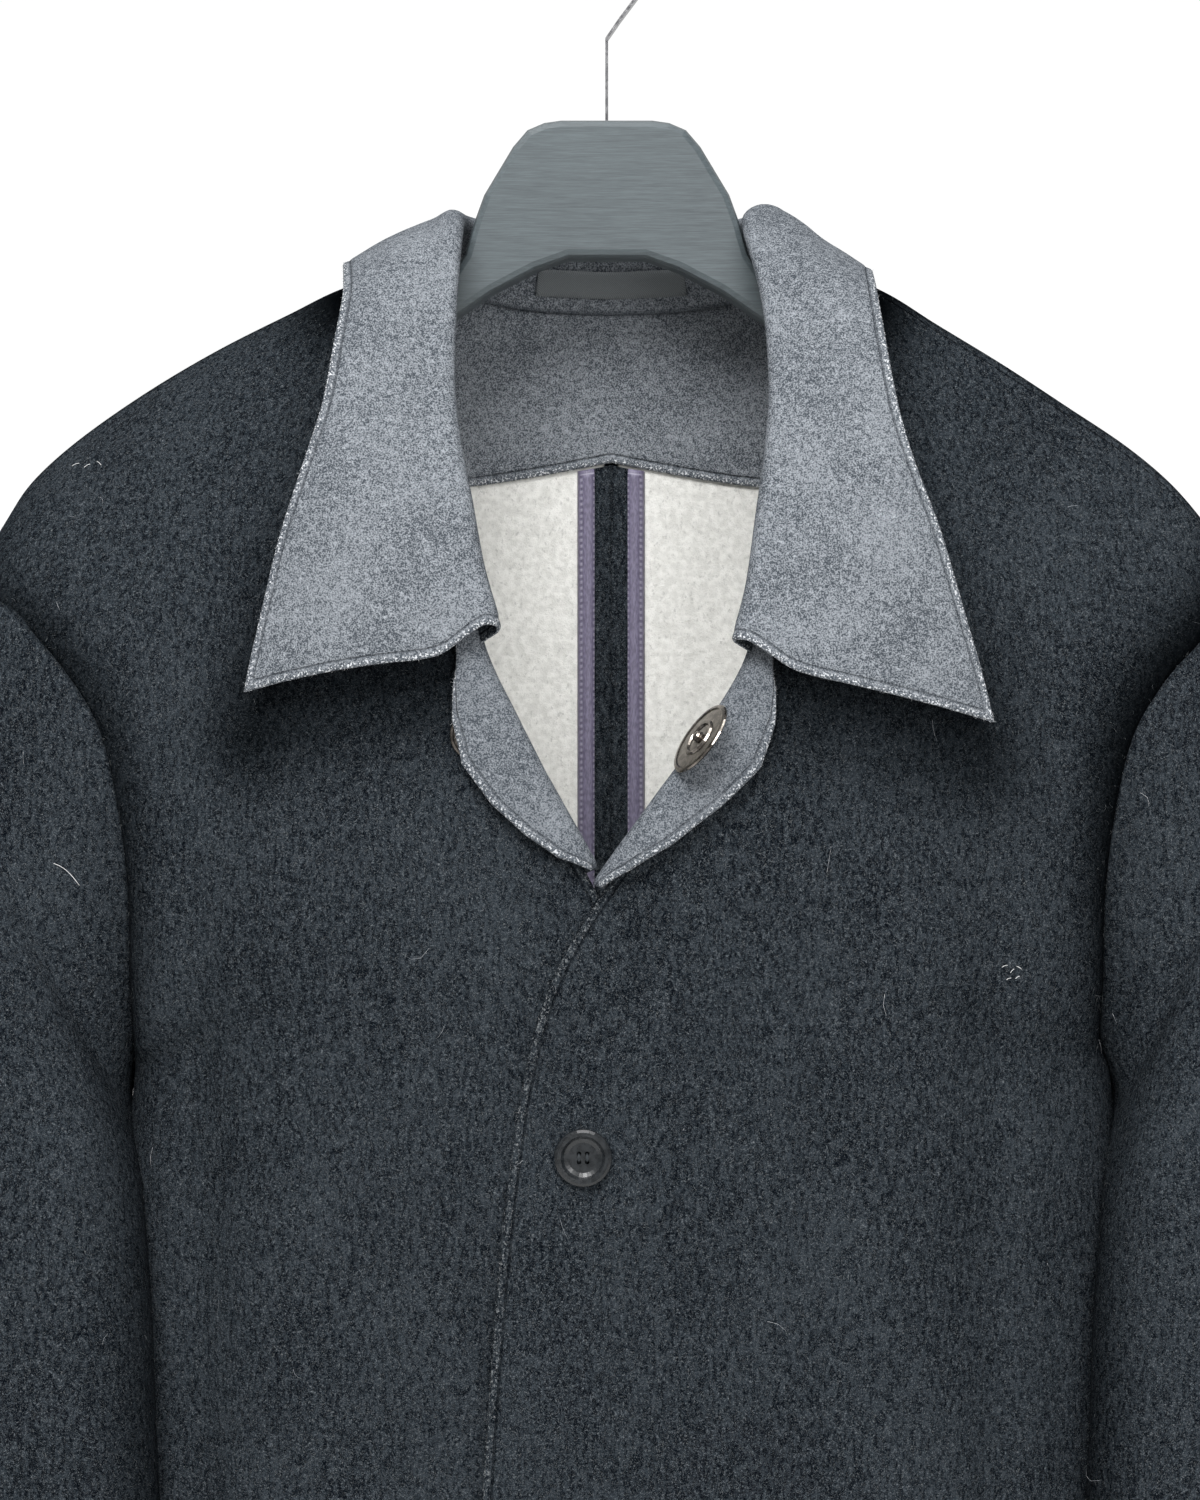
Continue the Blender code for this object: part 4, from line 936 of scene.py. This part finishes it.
def make_nap(material, pale):
    """Loose wool fibres that lie on the coat cloth, and pale ones along the raw edges."""
    roots, out = scattered(NAP, 20)
    dice = np.random.default_rng(7)
    down = np.array((0.0, 0.0, -1.0)) + 0.9 * dice.normal(size=out.shape)
    lie = unit(down - out * np.sum(down * out, axis=-1)[:, None])
    direction = unit(lie + out * (0.10 + 0.45 * dice.random((len(out), 1)) ** 2))
    piece = fibres("nap_fibres", roots - out * 0.15, direction, dice, material)
    chosen = dice.permutation(len(out))[:STRAY_FIBRES]
    piece = fibres("stray_fibres", roots[chosen] + out[chosen] * 0.1, lie[chosen], dice, pale)
    roots, out = scattered(RAW_EDGES, 60)
    dice = np.random.default_rng(9)
    direction = unit(out * 0.7 + 0.8 * dice.normal(size=out.shape))
    piece = fibres("edge_fibres", roots - out * 0.2, direction, dice, pale)


def yarns(name, lines, radius, material):
    """Joined yarns, whose rings stand square to their lines of points."""
    ahead = unit(np.gradient(lines, axis=1))
    aside = unit(np.cross(ahead, (0.31, 0.12, 0.94)))
    piece = tubes(name, lines, aside, np.cross(ahead, aside), radius, 6, material)
    run = np.broadcast_to(np.arange(lines.shape[1])[:, None] * 0.2, (*lines.shape[:2], 6))
    store(piece.data, "run_v", run.reshape(-1))


def solid_points(node):
    """The corners of a solid that stays, in the tables' millimetres."""
    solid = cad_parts[node]
    corners = np.array([solid.matrix_world @ corner.co for corner in solid.data.vertices])
    return corners / MM + np.array((0.0, 0.0, SEAT_RISE))


def make_button_thread(material):
    """Two bars of three strands on each button, from hole to hole over its dished middle."""
    steps = np.linspace(0.0, 1.0, 9)
    bars = []
    for number in (1, 2, 3):
        corners = solid_points("button_%d" % number)
        low, high = corners.min(axis=0), corners.max(axis=0)
        x, z = (low[0] + high[0]) / 2, (low[2] + high[2]) / 2
        dish = low[1] + BUTTON_DISH
        for bar_x in (-BUTTON_HOLE_OUT, BUTTON_HOLE_OUT):
            for strand, lift in STRANDS:
                rise = np.sin(np.pi * steps) ** 0.35 * (lift + THREAD_SINK) - THREAD_SINK
                bars.append(np.stack((x + bar_x + strand * np.sin(np.pi * steps),
                                      dish - rise, z + BUTTON_HOLE_OUT * (1 - 2 * steps)), axis=-1))
    yarns("button_thread", np.array(bars), THREAD, material)


def make_lint(material):
    """Pale threads on the outside of the cloth, each bent aside by bend sin(pi t)."""
    steps = np.linspace(0.0, 1.0, 9)
    lines = []
    for name, x_from, z_from, x_to, z_to, bend in LINT:
        far, out = GRIDS[name]
        x = x_from + (x_to - x_from) * steps
        z = z_from + (z_to - z_from) * steps + bend * np.sin(np.pi * steps)
        away = (far[..., 0] - x.mean()) ** 2 + (far[..., 2] - z.mean()) ** 2 + FAR * FAR * (out[..., 1] > 0)
        nearest = np.unravel_index(np.argmin(away), away.shape)
        middle, facing = far[nearest], out[nearest]
        y = middle[1] - ((x - middle[0]) * facing[0] + (z - middle[2]) * facing[2]) / facing[1]
        lines.append(np.stack((x, y - LINT_LIFT, z), axis=-1))
    yarns("lint", np.array(lines), LINT_RADIUS, material)


# ---------------------------------------------------------------- materials

class Socket:
    """A value in a node tree. Python's operators on it make Math nodes."""

    def __init__(self, paint, output):
        self.paint, self.output = paint, output

    def math(self, operation, first, second=None):
        values = [first] if second is None else [first, second]
        return self.paint.node("ShaderNodeMath", {"operation": operation}, dict(enumerate(values)))

    def __abs__(self):
        return self.math('ABSOLUTE', self)

    def wave(self, length):
        """A wave of this length, between 0 and 1."""
        return self.math('SINE', self * (2 * math.pi / length)) * 0.5 + 0.5

    def over(self, low, high):
        """A smooth step from 0 at low to 1 at high (or back, where low is the greater)."""
        return self.paint.node("ShaderNodeMapRange", {"interpolation_type": 'SMOOTHSTEP'},
                               {"Value": self, "From Min": low, "From Max": high}, "Result")


# A value may stand on either side of each sign.
for sign_name, operation_name in (("add", 'ADD'), ("sub", 'SUBTRACT'), ("mul", 'MULTIPLY'),
                                  ("truediv", 'DIVIDE')):
    setattr(Socket, "__%s__" % sign_name,
            lambda self, other, operation=operation_name: self.math(operation, self, other))
    setattr(Socket, "__r%s__" % sign_name,
            lambda self, other, operation=operation_name: self.math(operation, other, self))


class Paint:
    """One Principled material and the values that feed it."""

    def __init__(self, name, roughness, metallic=0.0, sheen=0.0, coat=0.0, specular=0.5):
        self.material = bpy.data.materials.new(name)
        self.material.use_nodes = True
        self.tree = self.material.node_tree
        self.shader = self.tree.nodes["Principled BSDF"]
        for key, value in (("Roughness", roughness), ("Metallic", metallic), ("Sheen Weight", sheen),
                           ("Sheen Roughness", SHEEN_ROUGHNESS), ("Coat Weight", coat),
                           ("Specular IOR Level", specular)):
            self.shader.inputs[key].default_value = value
        here = self.node("ShaderNodeTexCoord", output="Object")
        self.mm = self.scaled(here, (1 / MM,) * 3)

    def node(self, kind, settings=None, sockets=None, output=0):
        """One output of a new node: its type, its settings and its input values or links."""
        made = self.tree.nodes.new(kind)
        for key, value in (settings or {}).items():
            setattr(made, key, value)
        for key, value in (sockets or {}).items():
            if isinstance(value, Socket):
                self.tree.links.new(value.output, made.inputs[key])
            else:
                made.inputs[key].default_value = value
        return Socket(self, made.outputs[output])

    def scaled(self, vector, factors):
        """A vector times other factors on each axis."""
        return self.node("ShaderNodeVectorMath", {"operation": 'MULTIPLY'}, {0: vector, 1: factors})

    def noise(self, size, detail=2.0, rough=0.5, twist=0.0, stretch=(1, 1, 1)):
        """Noise whose grains are about size millimetres wide."""
        where = self.scaled(self.mm, stretch)
        return self.node("ShaderNodeTexNoise", None,
                         {"Vector": where, "Scale": 1 / size, "Detail": detail, "Roughness": rough,
                          "Distortion": twist})

    def curls(self, size, twist, thin, stretch=(1, 1, 1)):
        """Thin curled lines, where a noise crosses its middle value."""
        field = self.noise(size, 0.0, 0.5, twist, stretch)
        return abs(field - 0.5).over(thin * 0.5, 0.0)

    def value(self, attribute):
        """A number stored on the piece's points."""
        return self.node("ShaderNodeAttribute", {"attribute_name": attribute}, output="Fac")

    def mix(self, factor, first, second):
        """A colour between two."""
        sockets = {0: factor}
        for number, value in ((6, first), (7, second)):
            sockets[number] = value if isinstance(value, Socket) else (*value, 1.0)
        return self.node("ShaderNodeMix", {"data_type": 'RGBA'}, sockets, 2)

    def layers(self, colour, *films):
        """Other colours laid over one, each by its own factor."""
        for factor, film in films:
            colour = self.mix(factor, colour, film)
        return colour

    def finish(self, colour, height=None, bump_mm=0.0, strength=0.0, roughness=None):
        """Feed the shader and give back the material."""
        feeds = {"Base Color": colour}
        if height is not None:
            feeds["Normal"] = self.node("ShaderNodeBump", None, {
                "Height": height, "Distance": bump_mm * MM, "Strength": strength})
        if roughness is not None:
            feeds["Roughness"] = roughness
        for key, value in feeds.items():
            self.tree.links.new(value.output, self.shader.inputs[key])
        return self.material


def edge_marks(paint, height):
    """Stitched groove and fuzzy rim of a raw edge, from the stored distance to it."""
    edge, run = paint.value("edge"), paint.value("run_u") + paint.value("run_v")
    dash = run.wave(STITCH_LENGTH)
    line = abs(edge - STITCH_IN).over(0.75, 0.0)
    rim = edge.over(STITCH_IN, 1.2)
    return line * dash, line, rim, height - line * 1.5 - line * dash * 0.8


def coat_cloth():
    """Brushed melton: near-black blue-grey wool, mottled down its length, with pale curled fibres."""
    paint = Paint("melton", 0.94, specular=0.0)
    broad = paint.noise(30, 0.0, 0.5, 0.0, (1, 1, 0.5))
    rows = paint.noise(1.9, 1.0, 0.5, 0.0, (1, 1, 0.42))
    clumps = paint.noise(1.1, 2.0, 0.65)
    grain = paint.noise(0.40, 1.0, 0.6)
    curls = paint.curls(0.90, 1.2, 0.07, (1, 1, 0.8)) * grain.over(0.36, 0.58)
    tone = rows.over(0.30, 0.70) * 0.40 + clumps.over(0.28, 0.72) * 0.5 + (broad - 0.5) * 0.3
    tone = tone + (grain - 0.5) * 1.3
    colour = paint.mix(tone.over(0.0, 0.95), COAT_DARK, COAT_MID)
    pale = clumps.over(0.52, 0.70) * grain.over(0.50, 0.66)
    line, rim, height = edge_marks(paint, clumps * 1.1 + grain * 0.9 + rows * 0.9)[1:]
    colour = paint.layers(colour, (pale * 0.55, COAT_PALE), (curls * 0.45, COAT_FIBRE),
                          (line * 0.5, COAT_DARK), (rim * clumps.over(0.55, 0.68) * 0.6, COAT_FIBRE),
                          # painted shade: along the sunk seams, beside the arms and under the collar
                          (paint.value("seam").over(1.2, 0.0) * 0.4, COAT_SHADE),
                          (paint.value("shade"), COAT_SHADE))
    return paint.finish(colour, height, 0.45, 0.9)


def inside_cloth():
    """The cream wool face inside the coat cloth, with grey flecks."""
    paint = Paint("cream_wool", 0.9, specular=0.0)
    clumps = paint.noise(3.0, 1.0, 0.55)
    grain = paint.noise(0.6, 1.0, 0.6)
    flecks = paint.noise(2.0, 2.5, 0.75, 0.0, (1, 1, 0.7)).over(0.56, 0.72)
    colour = paint.mix(clumps.over(0.3, 0.7), CREAM_SHADE, CREAM)
    colour = paint.layers(colour, (flecks * 0.42, CREAM_FLECK),
                          (grain.over(0.55, 0.75) * 0.25, CREAM_FLECK),
                          (paint.value("seam").over(4.0, 2.6), COAT_DARK))
    return paint.finish(colour, clumps + grain * 0.8, 0.35, 0.8)


def flannel_cloth():
    """Salt-and-pepper grey flannel of the collar and facings."""
    paint = Paint("flannel", 0.9, specular=0.0)
    broad = paint.noise(24, 0.0)
    clumps = paint.noise(2.6, 1.0, 0.6)
    grain = paint.noise(0.62, 1.0, 0.65)
    curls = paint.curls(0.75, 1.4, 0.06) * clumps.over(0.42, 0.6)
    tone = clumps.over(0.28, 0.74) * 0.30 + grain.over(0.34, 0.66) * 0.95 + (broad - 0.5) * 0.5
    colour = paint.mix(tone.over(0.05, 1.1), FLANNEL_DARK, FLANNEL)
    pale = grain.over(0.56, 0.74) * clumps.over(0.45, 0.7)
    stitch, line, rim, height = edge_marks(paint, grain * 1.4 + clumps * 0.5)
    specks = paint.noise(0.8, 1.0, 0.5).over(0.54, 0.66)
    colour = paint.layers(colour, (curls * 0.4 + pale * 0.5, FLANNEL_PALE),
                          (line * 0.45, FLANNEL_DARK), (stitch * 0.25, FLANNEL_DARK),
                          (rim * 0.45, FLANNEL_RIM), (rim * specks * 0.85, WHITE_WOOL),
                          # painted shade: along the sunk seams, and on the facings
                          (paint.value("seam").over(1.2, 0.0) * 0.6, FLANNEL_DARK),
                          (paint.value("shade"), FLANNEL_DARK))
    return paint.finish(colour, height, 0.30, 0.9)


def tape_cloth():
    """Dark twill tape: fine slanting ribs."""
    paint = Paint("twill_tape", 0.75, specular=0.3)
    ribs = (paint.value("run_u") + paint.value("run_v")).wave(0.9)
    grain = paint.noise(0.5, 2.0)
    colour = paint.mix(ribs * 0.5 + grain * 0.4, TAPE_DARK, TAPE)
    return paint.finish(colour, ribs + grain * 0.4, 0.10, 0.8)


def binding_tape():
    """Mauve-grey satin binding with a line of stitches near its inner side."""
    paint = Paint("satin_binding", 0.42, specular=0.5, sheen=0.15)
    weave = paint.value("run_v").wave(0.55)
    grain = paint.noise(0.7, 2.0, 0.5, 0.0, (1, 1, 0.3))
    line = paint.value("seam").over(1.5, 0.9) * paint.value("seam").over(0.3, 0.9)
    dash = paint.value("run_v").wave(STITCH_LENGTH).over(0.3, 0.7)
    colour = paint.mix(grain.over(0.3, 0.7), BINDING_DARK, BINDING)
    colour = paint.mix(line * dash * 0.7, colour, BINDING_STITCH)
    return paint.finish(colour, weave * 0.3 + grain * 0.3 - line * 1.5 + line * dash * 0.9, 0.16, 0.9)


def fibre_wool(name):
    """Loose fibres, each a little lighter or darker along the cloth."""
    paint = Paint(name, 0.7, sheen=0.2, specular=0.3)
    change = paint.noise(2.3, 2.0, 0.7)
    grain = paint.noise(0.6, 1.0)
    return paint.finish(paint.mix(change.over(0.40, 0.70), *YARNS[name]), grain, 0.02, 0.3)


def hanger_wood():
    """Slate-grey stained wood with fine grain along it, satin."""
    paint = Paint("stained_wood", 0.42, specular=0.45, coat=0.12)
    grain = paint.noise(0.9, 4.0, 0.65, 0.2, (0.035, 1, 1))
    fine = paint.noise(0.35, 2.0, 0.6, 0.0, (0.05, 1, 1))
    broad = paint.noise(60, 2.0)
    colour = paint.mix(grain.over(0.3, 0.7) * 0.5 + fine.over(0.35, 0.7) * 0.3 + (broad - 0.4) * 0.4,
                       WOOD_DARK, WOOD)
    rough = grain * 0.12 + 0.36
    return paint.finish(colour, grain + fine * 0.6, 0.05, 0.6, rough)


def polished(name):
    """A hard smooth finish with faint scratches and cloudy change of tone."""
    colour, other, roughness, metallic, scratch, coat = HARD[name]
    paint = Paint(name, roughness, metallic=metallic, coat=coat)
    cloud = paint.noise(3.0, 2.0, 0.5, 0.6)
    lines = paint.noise(0.5, 3.0, 0.7, 0.0, (0.2, 1, 1.6))
    rough = cloud * 0.10 + lines * 0.08 + (roughness - 0.09)
    return paint.finish(paint.mix(cloud.over(0.3, 0.7), colour, other), lines, scratch, 0.5, rough)


def thread_yarn(name):
    """Sewing thread, twisted."""
    paint = Paint(name, 0.6, specular=0.3)
    twist = paint.value("run_v").wave(0.6)
    grain = paint.noise(0.3, 2.0)
    return paint.finish(paint.mix(grain, *YARNS[name]), twist + grain, 0.05, 0.6)


# ---------------------------------------------------------------- studio

def make_studio():
    """A pale floor under the jacket, a white surround and large soft lights."""
    world = bpy.data.worlds.new("surround")
    bpy.context.scene.world = world
    world.use_nodes = True
    tree = world.node_tree
    back = tree.nodes["Background"]
    back.inputs["Color"].default_value = (1, 1, 1, 1)
    split = tree.nodes.new("ShaderNodeSeparateXYZ")
    tree.links.new(tree.nodes.new("ShaderNodeTexCoord").outputs["Generated"], split.inputs[0])
    ramp = tree.nodes.new("ShaderNodeMapRange")
    ramp.interpolation_type = 'SMOOTHSTEP'
    for key, value in (("From Min", BACKDROP_FROM), ("From Max", BACKDROP_TO),
                       ("To Min", SURROUND), ("To Max", BACKDROP)):
        ramp.inputs[key].default_value = value
    tree.links.new(split.outputs["Y"], ramp.inputs["Value"])
    tree.links.new(ramp.outputs["Result"], back.inputs["Strength"])
    bpy.context.scene.view_settings.view_transform = 'Standard'
    mesh = bpy.data.meshes.new("floor")
    half, level = 4.0, FLOOR_LEVEL
    mesh.from_pydata([(-half, -half, level), (half, -half, level), (half, half, level), (-half, half, level)],
                     [], [(0, 1, 2, 3)])
    floor = put("floor", mesh)
    paint = Paint("floor", 0.8)
    mesh.materials.append(paint.finish(paint.mix(paint.noise(300, 2.0), *FLOOR_SHADES)))
    for name, place, aim, size, watts in LIGHTS:
        lamp = bpy.data.lights.new(name, 'AREA')
        lamp.shape, lamp.size, lamp.size_y, lamp.energy = 'RECTANGLE', size[0], size[1], watts
        light = put(name, lamp)
        light.location = place
        toward = Vector(aim) - Vector(place)
        light.rotation_euler = toward.to_track_quat('-Z', 'Y').to_euler()


def make_camera():
    """A level camera square to the front, framed as a portrait of the upper half."""
    lens = bpy.data.cameras.new("camera")
    lens.sensor_fit = 'VERTICAL'
    lens.sensor_height = SENSOR
    lens.lens = SENSOR * (FRONT_PLANE_Y - CAMERA_PLACE[1]) / FRAME_HEIGHT
    camera = put("camera", lens)
    camera.location = CAMERA_PLACE
    camera.rotation_euler = (math.radians(90), 0, 0)
    bpy.context.scene.camera = camera


# ---------------------------------------------------------------- the whole

def paint_solids():
    """Better materials on the solids that stay."""
    finishes = {name: polished(name) for name in HARD}
    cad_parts["hanger"].material_slots[0].material = hanger_wood()
    for node, finish in SOLIDS.items():
        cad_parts[node].material_slots[0].material = finishes[finish]


def main():
    coat, cream, flannel = coat_cloth(), inside_cloth(), flannel_cloth()
    surface, last = settled_collar()
    make_panels((coat, cream, coat), collar_shadow_line(surface, last))
    make_sleeves((coat, cream, coat))
    make_collar(surface, last, flannel, coat, tape_cloth())
    make_facings(flannel)
    make_back_inside(flannel, coat, binding_tape())
    make_nap(fibre_wool("loose_wool"), fibre_wool("pale_wool"))
    make_lint(thread_yarn("pale_thread"))
    make_button_thread(thread_yarn("thread"))
    paint_solids()
    make_studio()
    make_camera()


main()
